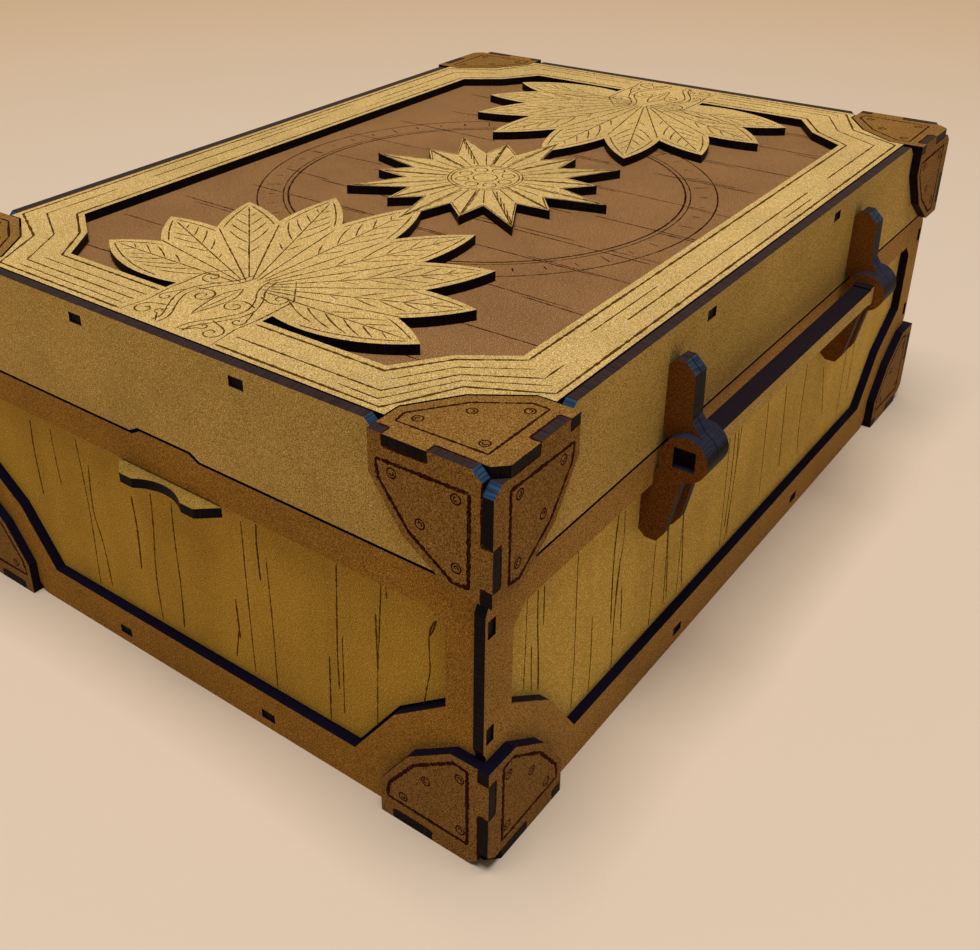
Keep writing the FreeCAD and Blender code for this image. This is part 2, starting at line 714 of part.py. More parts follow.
def leaf(root, angle, long, wide):
    """A pointed leaf: two arcs from its root to its tip."""
    along = FreeCAD.Vector(math.cos(angle), math.sin(angle), 0)
    across = FreeCAD.Vector(-along.y, along.x, 0)
    tip = root + along * long
    belly = root + along * (long * 0.45)
    one = Part.Arc(root, belly + across * (wide / 2), tip).toShape()
    other = Part.Arc(tip, belly - across * (wide / 2), root).toShape()
    return Part.Face(Part.Wire([one, other]))


def star():
    """The lid's star, with long and short points in turn."""
    points = []
    count = round(book.star_points.value)
    for i in range(count * 2):
        tips = book.star_radius if i % 4 == 0 else book.star_short
        radius = tips.value if i % 2 == 0 else book.star_valley.value
        angle = math.pi * i / count
        points.append(FreeCAD.Vector(radius * math.cos(angle), radius * math.sin(angle), 0))
    return Part.Face(Part.makePolygon(points + points[:1]))


def spray(sign):
    """One half of the lid's ornament: a bridge from the border, and a spray of leaves that
    fans from its end towards the star."""
    reach = half_length.value - book.border.value + sheet.value
    root = (half_length - book.spray_inset).value
    half = book.bridge_width.value / 2
    outline = [(root - half / 2, -half / 3), (root, -half), (reach, -half)]
    outline += [(a, -b) for a, b in reversed(outline)]
    points = [FreeCAD.Vector(sign * a, b, 0) for a, b in outline]
    shapes = [Part.Face(Part.makePolygon(points + points[:1]))]
    pairs = round(book.leaf_pairs.value)
    for i in range(-pairs, pairs + 1):
        long = book.leaf_length.value - book.leaf_shrink.value * abs(i)
        wide = book.leaf_width.value
        turn = math.radians(book.leaf_turn.value * i)
        angle = math.pi + turn if sign > 0 else turn
        shapes.append(leaf(FreeCAD.Vector(sign * root, 0, 0), angle, long, wide))
    return shapes


def lid_overlay():
    """The lid's top sheet: a border round the panel, joined to a star with leafy stems."""
    wall = sheet.value + book.strip_gap.value
    gap = book.inlay_gap.value
    leg = book.leg.value + gap
    straight = book.cap_straight.value + gap
    middle = book.cap_middle.value + gap
    outside = ring_of([(leg, wall), (leg, straight), (middle, middle), (straight, leg),
                       (wall, leg)])
    edge = book.border.value
    turn = book.border_turn.value
    inside = ring_of([(turn, edge), (book.border_middle.value, book.border_middle.value),
                      (edge, turn)])
    rise = FreeCAD.Vector(0, 0, sheet.value)
    shapes = [face.extrude(rise) for face in [star()] + spray(1) + spray(-1)]
    solid = outside.cut(inside).extrude(rise).multiFuse(shapes).removeSplitter()
    overlay = doc.addObject("Part::Feature", "lid_overlay")
    overlay.Label = "lid_overlay"
    overlay.Shape = solid.Solids[0]
    place(overlay, 0, 0, top_level - sheet)
    nodes["lid_overlay"] = overlay


# ------------------------------------------------------------------ hinge
def strap_tenon_slots():
    """Slots in the lid's wall for the tenons of the straps."""
    low = height + book.strap_tenon_low - lid_level
    high = height + book.strap_tenon_high - lid_level
    slots = []
    for centre in (book.hinge_place, -book.hinge_place):
        slots.append(box(centre - sheet, centre + sheet, low, high))
    return slots


def foot_tenon_slots():
    """Slots in the hinge side's panel for the tenons of the hinge brackets."""
    slots = []
    for centre in (book.hinge_place, -book.hinge_place):
        for left in (centre - sheet * 2 - book.hinge_play, centre + sheet + book.hinge_play):
            low = height - book.foot_tenon_low
            high = height - book.foot_tenon_high
            slots.append(box(left, left + sheet, low, high))
    return slots


def hinge_layer(name, x, outline, hole_radius):
    """One layer of a hinge: an arm with a round hub, holed round or square for the bar."""
    body = doc.addObject("PartDesign::Body", name)
    body.Label = name
    arm = new_sketch(body, "YZ", name + "_arm")
    draw_polygon(arm, outline)
    pad(body, arm, "YZ", sheet)
    hub = new_sketch(body, "YZ", name + "_hub")
    draw_circle(hub, (0, 0), book.hub_radius)
    pad(body, hub, "YZ", sheet)
    hole = new_sketch(body, "YZ", name + "_hole")
    if hole_radius is None:
        half = book.bar_side / 2 + book.bar_fit
        draw_polygon(hole, box(-half, half, -half, half))
    else:
        draw_circle(hole, (0, 0), hole_radius)
    cut = body.newObject("PartDesign::Pocket", name + "_bore")
    cut.Profile = hole
    cut.Reversed = True
    cut.setExpression("Length", sheet.text)
    hole.Visibility = False
    place(body, x, half_width + book.axis_out, height)
    nodes[name] = body
    return body


def strap_outline():
    """A strap, from the hinge axis: up the lid's wall, with an eight-sided tip."""
    wall = -book.axis_out
    face = wall + book.strap_width
    high = book.strap_reach
    low_tenon = book.strap_tenon_low
    high_tenon = book.strap_tenon_high
    hub = book.hub_radius
    return [
        (0, 0), (hub * 0.4, hub * 0.9), (face + 0.3, hub + 3.5), (face, high - 3), (face - 3, high),
        (wall + 2, high), (wall, high - 2), (wall, high_tenon), (wall - sheet, high_tenon),
        (wall - sheet, low_tenon), (wall, low_tenon), (wall, hub * 0.7), (-hub * 0.9, hub * 0.4),
    ]


def foot_outline():
    """A hinge bracket, from the hinge axis: down past the top rail, then into the window."""
    wall = -book.axis_out
    panel = wall - sheet
    low = -book.foot_reach
    rail = -book.top_rail
    face = panel + book.foot_width
    hub = book.hub_radius
    return [
        (0, 0), (-hub * 0.9, -hub * 0.4), (wall, -hub), (wall, rail), (panel, rail),
        (panel, -book.foot_tenon_high), (panel - sheet, -book.foot_tenon_high),
        (panel - sheet, -book.foot_tenon_low), (panel, -book.foot_tenon_low),
        (panel, low + 2), (panel + 2, low), (face - 2, low), (face, low + 3), (0, -hub),
    ]


def hinges():
    """Two hinges: straps on the lid turn on a square bar that brackets on the body hold."""
    corner = math.sqrt(0.5)
    bore = book.bar_side * corner + book.bar_fit
    for place_name, centre in (("drawer", book.hinge_place), ("far", -book.hinge_place)):
        straps = []
        for i, x in enumerate((centre - sheet, centre)):
            name = "strap_%s_%d" % (place_name, i)
            straps.append(hinge_layer(name, x, strap_outline(), bore))
        group("hinge_straps_" + place_name, straps)
        inner = centre - sheet * 2 - book.hinge_play
        outer = centre + sheet + book.hinge_play
        for side, x in (("low", inner), ("high", outer)):
            hinge_layer("hinge_bracket_%s_%s" % (place_name, side), x, foot_outline(), None)

    end = book.hinge_place + sheet * 2 + book.hinge_play - book.bar_inset
    shoulder = book.hinge_place - book.bar_shoulder
    tall = book.bar_side / 2
    waist = book.bar_waist / 2
    right = [(shoulder, -waist), (shoulder, -tall), (end, -tall), (end, tall)]
    right += [(shoulder, tall), (shoulder, waist)]
    strips = []
    axis_y = half_width + book.axis_out
    for name, y in (("bar_inner", axis_y - book.bar_side / 2), ("bar_outer", axis_y)):
        at = (0, y, height)
        strips.append(cut_piece(name, "XZ", at, mirrored(right), (), book.bar_side / 2))
    group("hinge_bar", strips)


# ------------------------------------------------------------------ build, check, write
def check(document):
    """Stop if any object failed, or a node's shape isn't a valid solid."""
    for item in document.Objects:
        if "Invalid" in item.State or "Error" in item.State:
            raise RuntimeError("%s failed: %s" % (item.Label, item.State))
    for name, item in nodes.items():
        shape = item.Shape
        if shape.isNull() or not shape.isValid() or not shape.Solids:
            raise RuntimeError("%s has no valid solid" % name)


def main():
    floor_and_deck()
    side_panels()
    end_panels()
    side_frames()
    end_frames()
    brackets()
    tray_dividers()
    runners()
    drawer_front()
    drawer_pull()
    drawer_box()
    lid_walls()
    lid_panel()
    lid_overlay()
    hinges()
    doc.recompute()
    check(doc)
    os.makedirs("parts", exist_ok=True)
    for name, item in nodes.items():
        item.Shape.exportStep(os.path.join("parts", name + ".step"))
        print("%-28s %2d solid  %9.1f mm3" % (name, len(item.Shape.Solids), item.Shape.Volume))
    print("%d nodes" % len(nodes))


main()
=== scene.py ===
"""A dice storage chest of laser-cut board, with a hinged lid, a tray and a drawer.

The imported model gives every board. This file gives the boards their faces and burnt cut
edges, and adds what the laser engraves on them: plank lines, borders, veins, bracket
outlines and rivet marks. Lengths are in metres; tables of points are in millimetres.
"""

import itertools
import math
import random

import bpy
from mathutils import Matrix, Vector


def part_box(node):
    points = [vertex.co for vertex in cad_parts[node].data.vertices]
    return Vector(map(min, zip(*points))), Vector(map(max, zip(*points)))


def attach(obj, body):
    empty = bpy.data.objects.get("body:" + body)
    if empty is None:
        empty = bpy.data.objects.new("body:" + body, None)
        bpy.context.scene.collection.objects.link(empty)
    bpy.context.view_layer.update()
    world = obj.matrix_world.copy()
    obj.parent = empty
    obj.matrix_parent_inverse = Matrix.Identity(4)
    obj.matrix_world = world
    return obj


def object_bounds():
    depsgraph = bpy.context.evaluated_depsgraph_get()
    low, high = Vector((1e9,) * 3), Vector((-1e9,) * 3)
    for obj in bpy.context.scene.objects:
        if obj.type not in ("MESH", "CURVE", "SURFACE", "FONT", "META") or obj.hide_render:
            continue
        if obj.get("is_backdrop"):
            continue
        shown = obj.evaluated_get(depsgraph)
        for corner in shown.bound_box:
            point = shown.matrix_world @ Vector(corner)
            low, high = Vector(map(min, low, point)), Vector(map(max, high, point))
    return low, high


bl_info = {
    "name": "Dice Storage Chest",
    "version": (1, 0, 0),
    "blender": (4, 5, 0),
    "location": "3D View > Sidebar > Dice Chest",
    "description": "Board finishes, engraving and stage for a laser-cut dice storage chest",
    "category": "Object",
}

MM = 0.001

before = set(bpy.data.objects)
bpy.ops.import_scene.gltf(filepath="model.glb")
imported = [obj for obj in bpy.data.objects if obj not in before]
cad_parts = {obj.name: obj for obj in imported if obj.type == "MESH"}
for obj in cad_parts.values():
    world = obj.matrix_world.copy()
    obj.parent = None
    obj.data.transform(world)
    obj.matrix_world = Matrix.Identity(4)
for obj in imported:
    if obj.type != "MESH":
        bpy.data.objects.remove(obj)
CAD_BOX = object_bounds()


def low(node, axis):
    """A board's lowest coordinate along an axis."""
    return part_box(node)[0][axis]


def high(node, axis):
    """A board's highest coordinate along an axis."""
    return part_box(node)[1][axis]


def middle(node, axis):
    """A board's middle along an axis."""
    return (low(node, axis) + high(node, axis)) / 2


# The chest's own centre, its outer corner edges and its top, from the boards themselves.
CENTRE = Vector((middle("lid_overlay", 0), middle("lid_overlay", 1)))
HALF = Vector((
    high("end_frame_drawer", 0) - CENTRE.x, high("side_frame_hinge", 1) - CENTRE.y,
))
TOP = high("lid_overlay", 2)
# How far from the centre a hinge strap's two layers meet; other boards have no such seam.
STRAP_SEAM = middle("hinge_straps_drawer", 0) - CENTRE.x
NO_SEAM = -1.0


# ---- sizes and colours
def setting(kind, **limits):
    """A function that declares one kind of setting, by its name, description and default."""
    return lambda name, description, default: kind(
        name=name, description=description, default=default, **limits,
    )


length = setting(bpy.props.FloatProperty, min=0.0, precision=5, unit="LENGTH",
                 subtype="DISTANCE")
strength = setting(bpy.props.FloatProperty, min=0.0, subtype="FACTOR")
power = setting(bpy.props.FloatProperty, unit="POWER")
colour = setting(bpy.props.FloatVectorProperty, size=3, min=0.0, max=1.0, subtype="COLOR")
whole_number = setting(bpy.props.IntProperty)


class ChestFinish(bpy.types.PropertyGroup):
    """Colours and grain of the boards."""

    tan_face: colour("Tan board", "Face of the plain board", (0.485, 0.305, 0.066))
    tan_fleck: colour("Tan fleck", "Pale fibres in the plain board", (0.76, 0.56, 0.27))
    tan_speck: colour("Tan speck", "Dark fibres in the plain board", (0.23, 0.125, 0.012))
    brown_face: colour("Brown board", "Face of the stained board", (0.250, 0.124, 0.027))
    brown_fleck: colour("Brown fleck", "Pale fibres in stained board", (0.48, 0.275, 0.105))
    brown_speck: colour("Brown speck", "Dark fibres in stained board", (0.088, 0.034, 0.003))
    char: colour("Charred edge", "Edge that the laser has cut", (0.0075, 0.0050, 0.0058))
    # The ashen colour stands both for ash in the laser's marks and for painted light on level
    # edges high up, where the lamp rakes them.
    ash: colour("Ashen edge", "Cut edge where the light rakes it", (0.038, 0.0240, 0.0255))
    # The blue edge is a painted blue reflection on slanted edges high up.
    sheen: colour("Blue edge", "Blue bloom on slanted cut edges", (0.030, 0.075, 0.165))
    night: colour("Navy edge", "Low edges that lie in the shade", (0.0065, 0.0055, 0.017))
    tan_burn: colour("Line on tan", "Line engraved in plain board", (0.095, 0.039, 0.004))
    brown_burn: colour("Line on brown", "Line engraved in stained board", (0.030, 0.0050, 0.0014))
    fibre: length("Fibre size", "Size of one fibre in the board's face", 0.00035)
    striation: length("Striation", "Spacing of the laser's marks on a cut edge", 0.0004)


class ChestEngraving(bpy.types.PropertyGroup):
    """Sizes of the engraved lines."""

    line_width: length("Line width", "Width of a plain engraved line", 0.0005)
    plank_width: length("Plank line", "Width of a line between planks", 0.0006)
    seam_width: length("Seam width", "Width of the burnt seam round a finger joint", 0.0006)
    outline_width: length("Outline width", "Width of a bracket's engraved outline", 0.0011)
    rivet_width: length("Rivet line", "Width of the line of a rivet mark", 0.00042)
    rivet_radius: length("Rivet radius", "Radius of a rivet mark", 0.00125)
    relief: length("Relief", "Thickness of the burnt layer in a line", 0.00008)
    waver: length("Waver", "How far a line strays from its course", 0.00010)
    spacing: length("Spacing", "Step along a line", 0.0009)
    seed: whole_number("Seed", "Seed of all that is random", 7)


class ChestStage(bpy.types.PropertyGroup):
    """The floor and the light."""

    near_floor: colour("Near floor", "Floor round the chest", (0.75, 0.62, 0.50))
    far_floor: colour("Far floor", "Floor a step away from the chest", (0.78, 0.568, 0.378))
    floor_radius: length("Floor radius", "Reach of the floor", 2.0)
    distance: strength("Distance", "Brightness of what lies beyond the floor", 0.74)
    key_power: power("Key power", "Power of the lamp overhead", 79.5)
    key_size: length("Key size", "Side of the lamp overhead", 1.6)
    key_height: length("Key height", "Height of the lamp overhead", 3.0)
    key_lean: length("Key lean", "How far the lamp hangs towards the near corner", 0.42)
    sky: strength("Sky", "Strength of the light from all round", 0.18)
    sky_colour: colour("Sky colour", "Colour of the light from all round", (1.0, 0.86, 0.66))


# ---- node helpers
class Value:
    """A node's output; a sum, product or the like of it adds a Math node to its tree."""

    def __init__(self, socket):
        self.socket, self.tree = socket, socket.id_data

    def __add__(self, other):
        return calc("ADD", self, other)

    def __sub__(self, other):
        return calc("SUBTRACT", self, other)

    def __rsub__(self, other):
        return calc("SUBTRACT", other, self)

    def __mul__(self, other):
        return calc("MULTIPLY", self, other)

    def __truediv__(self, other):
        return calc("DIVIDE", self, other)

    def __abs__(self):
        return calc("ABSOLUTE", self)


def configure(item, **settings):
    """Set several properties of an item."""
    for name, value in settings.items():
        setattr(item, name, value)


def feed(socket, value):
    """Link a value to an input, or set the input's own."""
    if isinstance(value, Value):
        value.tree.links.new(value.socket, socket)
    elif socket.type == "RGBA":
        socket.default_value = (*value, 1.0)
    else:
        socket.default_value = value


def fill(inputs, **values):
    """Feed inputs by name; a name here has _ for each of its spaces."""
    for name, value in values.items():
        feed(inputs[name.replace("_", " ")], value)


def add(tree, kind, settings=None, *values, **named_values):
    """Add a node with its settings and inputs, and give its outputs by number and name."""
    node = tree.nodes.new(kind)
    configure(node, **(settings or {}))
    for socket, value in zip(node.inputs, values):
        feed(socket, value)
    fill(node.inputs, **named_values)
    outputs = {}
    for i, socket in enumerate(node.outputs):
        outputs[i] = Value(socket)
        outputs.setdefault(socket.name, outputs[i])
    return outputs


def geo(tree, kind, settings=None, **values):
    """The first output of a new geometry node."""
    return add(tree, "GeometryNode" + kind, settings, **values)[0]


def new_tree(name, kind, inputs, outputs):
    """An empty node group, with what it is given and what it has to fill.

    A socket's name stands with its kind or, where that is a number, with its default.
    """
    tree = bpy.data.node_groups.new(name, kind + "NodeTree")
    for way, sockets in (("INPUT", inputs), ("OUTPUT", outputs)):
        for label, value in sockets.items():
            number = {float: "Float", int: "Int"}.get(type(value))
            item = tree.interface.new_socket(
                label.replace("_", " "), in_out=way, socket_type="NodeSocket" + (number or value),
            )
            if number:
                item.default_value = value
    return tree, add(tree, "NodeGroupInput"), tree.nodes.new("NodeGroupOutput").inputs


def calc(operation, *values):
    """The result of a Math node, or of a Vector Math node on vectors and colours."""
    found = [value for value in values if isinstance(value, Value)]
    plain = all(value.socket.type == "VALUE" for value in found)
    kind = "ShaderNodeMath" if plain else "ShaderNodeVectorMath"
    outputs = add(found[0].tree, kind, {"operation": operation}, *values)
    return outputs[1 if operation in ("DOT_PRODUCT", "LENGTH") else 0]


def scaled(value, factor):
    """A vector or colour multiplied by a plain value."""
    return add(value.tree, "ShaderNodeVectorMath", {"operation": "SCALE"}, value,
               Scale=factor)[0]


def ramp(value, start, end, to_start=0.0, to_end=1.0):
    """A value taken smoothly from one range to another."""
    return add(value.tree, "ShaderNodeMapRange", {"interpolation_type": "SMOOTHSTEP"},
               value, start, end, to_start, to_end)[0]


def noise(where, scale, detail=2.0, roughness=0.5):
    """The factor of a noise texture."""
    return add(where.tree, "ShaderNodeTexNoise", Vector=where, Scale=scale, Detail=detail,
               Roughness=roughness)["Fac"]


def mix(factor, one, other):
    """One colour mixed into another."""
    node = factor.tree.nodes.new("ShaderNodeMix")
    node.data_type = "RGBA"
    # The node has a factor and a pair of inputs for each kind of data; these are colour's.
    for i, value in ((0, factor), (6, one), (7, other)):
        feed(node.inputs[i], value)
    return Value(node.outputs[2])


def bump(height, force, distance):
    """The normals of a surface that a height roughens."""
    return add(height.tree, "ShaderNodeBump", Height=height, Strength=force,
               Distance=distance)[0]


# ---- shader groups
# How strongly pale flecks and dark specks cover a board's face.
FLECK_STRENGTH = 0.95
# How much the laser's marks are drawn out through the sheet.
MARK_STRETCH = 0.94
# A face is a cut edge where the cosine of its turn from the sheet's own face is below this.
CUT_TURN = 0.9
# Heights between which level cut edges begin to take painted light in the ashen colour, and those
# between which slanted ones take the painted blue reflection.
LIT_EDGE_HEIGHTS = (0.088, 0.104)
GLINT_HEIGHTS = (0.050, 0.112)
SEAM_HALF_WIDTH = 0.00017


def fibreboard_group():
    """Pressed fibres: soft blotches, a fine speckle, pale flecks and dark specks."""
    tree, given, result = new_tree("Fibreboard", "Shader", dict(
        Face="Color", Fleck="Color", Speck="Color", Fibre_Scale=1600.0, Bands=0.0,
    ), dict(Color="Color", Height="Float"))
    where = add(tree, "ShaderNodeTexCoord")["Object"]
    fine = noise(where, given["Fibre Scale"], 2.0, 0.75)
    other = noise(where + (0.31, 0.17, 0.05), given["Fibre Scale"] * 1.25, 1.0, 0.6)
    broad = noise(where, 34.0, 3.0, 0.55)
    cloud = noise(where + (0.7, 0.2, 0.4), 9.0, 2.0, 0.5)
    tone = mix(ramp(other, 0.53, 0.33) * FLECK_STRENGTH, given["Face"], given["Speck"])
    tone = mix(ramp(fine, 0.50, 0.70) * FLECK_STRENGTH, tone, given["Fleck"])
    shade = ramp(broad, 0.3, 0.7, 0.92, 1.06) + ramp(cloud, 0.35, 0.65, -0.04, 0.04)
    shade = shade * ramp(other, 0.36, 0.64, 0.84, 1.16)
    # Upright bands, for a panel whose engraving shows planks.
    along = add(tree, "ShaderNodeCombineXYZ", X=calc("DOT_PRODUCT", where, (1.0, 1.0, 0.0)))[0]
    band = (noise(along, 75.0, 2.0, 0.55) - 0.5) * 4.0 * given["Bands"]
    fill(result, Color=scaled(tone, shade + band), Height=fine)
    return tree


def cut_edge_group():
    """Where a board is cut through, and the colour and marks of the burnt edge there, with
    painted light, a painted blue reflection and painted shade laid on by the edge's slope and
    height.
    """
    tree, given, result = new_tree("Cut Edge", "Shader", dict(
        Sheet_Axis="Vector", Char="Color", Ash="Color", Sheen="Color", Night="Color",
        Mark_Scale=1600.0, Centre=0.0, Seam=NO_SEAM,
    ), dict(Mask="Float", Color="Color", Height="Float"))
    source = add(tree, "ShaderNodeTexCoord")
    where, normal, axis = source["Object"], source["Normal"], given["Sheet Axis"]
    # The laser's marks run through the sheet, so they hardly change along its axis.
    along = scaled(axis, calc("DOT_PRODUCT", where, axis) * MARK_STRETCH)
    marks = noise(where - along, given["Mark Scale"], 2.0, 0.6)
    smoke = noise(where, 140.0, 3.0, 0.6)
    rise = add(tree, "ShaderNodeSeparateXYZ", None, normal)["Z"]
    place = add(tree, "ShaderNodeSeparateXYZ", None, where)
    high_up = ramp(place["Z"], *LIT_EDGE_HEIGHTS)
    slanted = ramp(rise, 0.25, 0.6) * ramp(rise, 0.98, 0.80)
    # A painted blue reflection on slanted edges, stronger towards the top.
    glint = slanted * ramp(marks, 0.38, 0.62, 0.35, 1.0) * ramp(place["Z"], *GLINT_HEIGHTS)
    grey = ramp(marks, 0.42, 0.68, 0.0, 0.40) * ramp(smoke, 0.35, 0.7, 0.25, 1.0)
    # Painted light on level edges high up, in the ashen colour, with the laser's marks in it.
    lit_top = ramp(rise, 0.86, 0.99) * ramp(marks, 0.38, 0.6, 0.45, 1.15) * high_up
    # The Ash input colours both the ashen streaks and that painted light.
    tone = mix(calc("MAXIMUM", grey, lit_top), given["Char"], given["Ash"])
    tone = mix(glint, tone, given["Sheen"])
    # Painted navy shade on upward edges low down, except where painted light or the blue
    # reflection lies.
    shaded = ramp(rise, 0.3, 0.7) * (1.0 - calc("MAXIMUM", high_up, glint))
    tone = mix(shaded, tone, given["Night"])
    # Two layers of one part meet in a black seam, as far from the centre as Seam says.
    off = abs(abs(place["X"] - given["Centre"]) - given["Seam"])
    tone = mix(calc("LESS_THAN", off, SEAM_HALF_WIDTH), tone, (0.0, 0.0, 0.0))
    turned = calc("LESS_THAN", abs(calc("DOT_PRODUCT", normal, axis)), CUT_TURN)
    fill(result, Mask=turned, Color=tone, Height=marks)
    return tree


def burnt_line_group():
    """The burnt bottom of an engraved line, patchy where the laser skips."""
    tree, given, result = new_tree(
        "Burnt Line", "Shader", dict(Burn="Color", Board="Color"),
        dict(Color="Color", Height="Float"),
    )
    where = add(tree, "ShaderNodeTexCoord")["Object"]
    skip = noise(where, 1500.0, 2.0, 0.7)
    bare = ramp(skip, 0.54, 0.70) * ramp(noise(where, 120.0), 0.42, 0.72, 0.05, 0.6)
    fill(result, Color=mix(bare, given["Burn"], given["Board"]), Height=skip)
    return tree


# ---- materials
PLAIN = (1.0, 1.0, 1.0)

# The boards that differ from the rest: the start of their names, and what red, green and blue are
# multiplied by in the face, in the cut edges' painted blue reflection and in their painted navy
# shade. The faces' factors hold painted light besides each board's tone: the lid's overlay and
# panel are lighter and paler for a painted sheen on top, the side panels and side frames lighter
# to make up for the lamp leaning away from the hinge side, and the drawer's front and end panels
# darker and yellower as painted warm shade on upright faces.
STOCK_AND_LIGHT_TINTS = (
    ("hinge_bar", PLAIN, PLAIN, (1.85, 1.55, 0.78)),
    ("hinge_", (0.58, 0.40, 0.26), (1.10, 0.78, 0.68), (3.5, 4.0, 2.4)),
    ("lid_overlay", (1.25, 1.33, 1.85)),
    ("drawer_pull", (0.74, 0.70, 0.55)),
    ("lid_panel", (1.04, 1.06, 1.65)),
    ("drawer_front", (0.93, 0.84, 0.47)),
    ("end_panel", (0.95, 0.87, 0.60)),
    ("side_panel", (1.20, 1.20, 0.95)),
    ("side_frame", (1.37, 1.41, 1.35)),
    ("end_frame", (1.20, 1.15, 0.76)),
    ("foot_", (0.84, 0.82, 0.80)),
    ("lid_drawer_", (0.96, 0.94, 0.85)),
    ("lid_far_", (0.96, 0.94, 0.85)),
)
# Stained boards: frames, corner brackets, hinges and the lid's panel.
BROWN = ("side_frame", "end_frame", "foot_", "lid_drawer_", "lid_far_", "hinge_strap",
         "hinge_bracket", "lid_panel")
# Boards that show planks, and how far their bands stray from the board's tone.
BANDED = ("side_panel", "end_panel", "drawer_front")
BAND_STRENGTH = 0.10
# Raw and scorched fibreboard hardly shine.
DULL = 0.02
FACE_ROUGHNESS, EDGE_ROUGHNESS, LINE_ROUGHNESS = 0.62, 0.42, 0.8
# How strong and how deep the bumps are.
BOARD_BUMPS, LINE_BUMPS = (0.45, 0.00014), (0.4, 0.00015)
# The axis across the sheet, for nodes of several boards; others are thinnest along theirs.
SHEET_AXES = {"hinge_bar": 1, "tray_cross_dividers": 0}


def stock_of(node):
    """The name of a board's stock, and the factors of its face, its painted blue reflection and
    its painted navy shade.
    """
    for start, *factors in STOCK_AND_LIGHT_TINTS:
        if node.startswith(start):
            return start.strip("_"), factors + [PLAIN] * (3 - len(factors))
    return "plain", [PLAIN] * 3


def sheet_axis(node):
    """The axis across a board's thickness."""
    extents = [b - a for a, b in zip(*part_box(node))]
    return SHEET_AXES.get(node, extents.index(min(extents)))


def times(rgb, factors):
    """A colour with each of its parts multiplied."""
    return [a * b for a, b in zip(rgb, factors)]


def new_material(name):
    """A material with one Principled shader, and that shader's inputs."""
    material = bpy.data.materials.new(name)
    material.use_nodes = True
    return material, material.node_tree, material.node_tree.nodes["Principled BSDF"].inputs


def made_once(name, build):
    """A node group that is built the first time it is asked for."""
    return bpy.data.node_groups.get(name) or build()


def add_group(tree, name, build, **values):
    """Add a node that holds a group, and give its outputs."""
    return add(tree, "ShaderNodeGroup", {"node_tree": made_once(name, build)}, **values)


def board_material(finish, look, stock, axis, factors):
    """A board whose faces show pressed fibres, and whose cut edges are burnt."""
    face, sheen, night = factors
    material, tree, shader = new_material(
        "%s board %s cut across %s" % (look, stock, "XYZ"[axis]),
    )
    tones = {part.title(): times(getattr(finish, "%s_%s" % (look, part)), face)
             for part in ("face", "fleck", "speck")}
    board = add_group(
        tree, "Fibreboard", fibreboard_group, **tones, Fibre_Scale=1.0 / finish.fibre,
        Bands=BAND_STRENGTH if stock in BANDED else 0.0,
    )
    edge = add_group(
        tree, "Cut Edge", cut_edge_group,
        Sheet_Axis=[float(axis == i) for i in range(3)], Char=finish.char, Ash=finish.ash,
        Sheen=times(finish.sheen, sheen), Night=times(finish.night, night),
        Mark_Scale=1.0 / finish.striation, Centre=CENTRE.x,
        Seam=STRAP_SEAM if stock == "hinge" else NO_SEAM,
    )
    mask = edge["Mask"]
    height = add(tree, "ShaderNodeMix", Factor=mask, A=board["Height"], B=edge["Height"])[0]
    fill(shader, Base_Color=mix(mask, board["Color"], edge["Color"]),
         Roughness=ramp(mask, 0.0, 1.0, FACE_ROUGHNESS, EDGE_ROUGHNESS),
         Specular_IOR_Level=DULL, Normal=bump(height, *BOARD_BUMPS))
    return material


def line_material(finish, look):
    """The bottom of the lines in one colour of board, made once."""
    name = "engraved line in %s board" % look
    if name in bpy.data.materials:
        return bpy.data.materials[name]
    material, tree, shader = new_material(name)
    line = add_group(tree, "Burnt Line", burnt_line_group, Burn=getattr(finish, look + "_burn"),
                     Board=getattr(finish, look + "_face"))
    fill(shader, Base_Color=line["Color"], Roughness=LINE_ROUGHNESS, Specular_IOR_Level=DULL,
         Normal=bump(line["Height"], *LINE_BUMPS))
    return material


class CHEST_OT_finish_boards(bpy.types.Operator):
    """Give every board its face and its burnt cut edges"""

    bl_idname = "dice_chest.finish_boards"
    bl_label = "Finish Boards"

    def execute(self, context):
        materials = {}
        for node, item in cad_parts.items():
            stock, factors = stock_of(node)
            key = ("brown" if node.startswith(BROWN) else "tan", stock, sheet_axis(node))
            if key not in materials:
                materials[key] = board_material(context.scene.chest_finish, *key, factors)
            if not item.material_slots:
                item.data.materials.append(materials[key])
            for slot in item.material_slots:
                slot.link = "OBJECT"
                slot.material = materials[key]
        return {"FINISHED"}


# ---- line geometry
# A line's weight at its two ends, as a share of what it is between them.
END_WEIGHT = 0.45


def named(tree, kind, name):
    """A value that each point of a path carries."""
    return geo(tree, "InputNamedAttribute", {"data_type": kind}, Name=name)


def sweep(curve, width, scale=1.0):
    """A path as a square rod, as wide from corner to corner as the line."""
    profile = geo(curve.tree, "CurvePrimitiveCircle", Resolution=4, Radius=width * 0.5)
    return geo(curve.tree, "CurveToMesh", Curve=curve, Profile_Curve=profile, Scale=scale,
               Fill_Caps=True)


def hand_over(tree, given, result, geometry):
    """End a tree with plain geometry in the finish that it is given."""
    real = geo(tree, "RealizeInstances", Geometry=geometry)
    feed(result[0], geo(tree, "SetMaterial", Geometry=real, Material=given["Finish"]))
    return tree


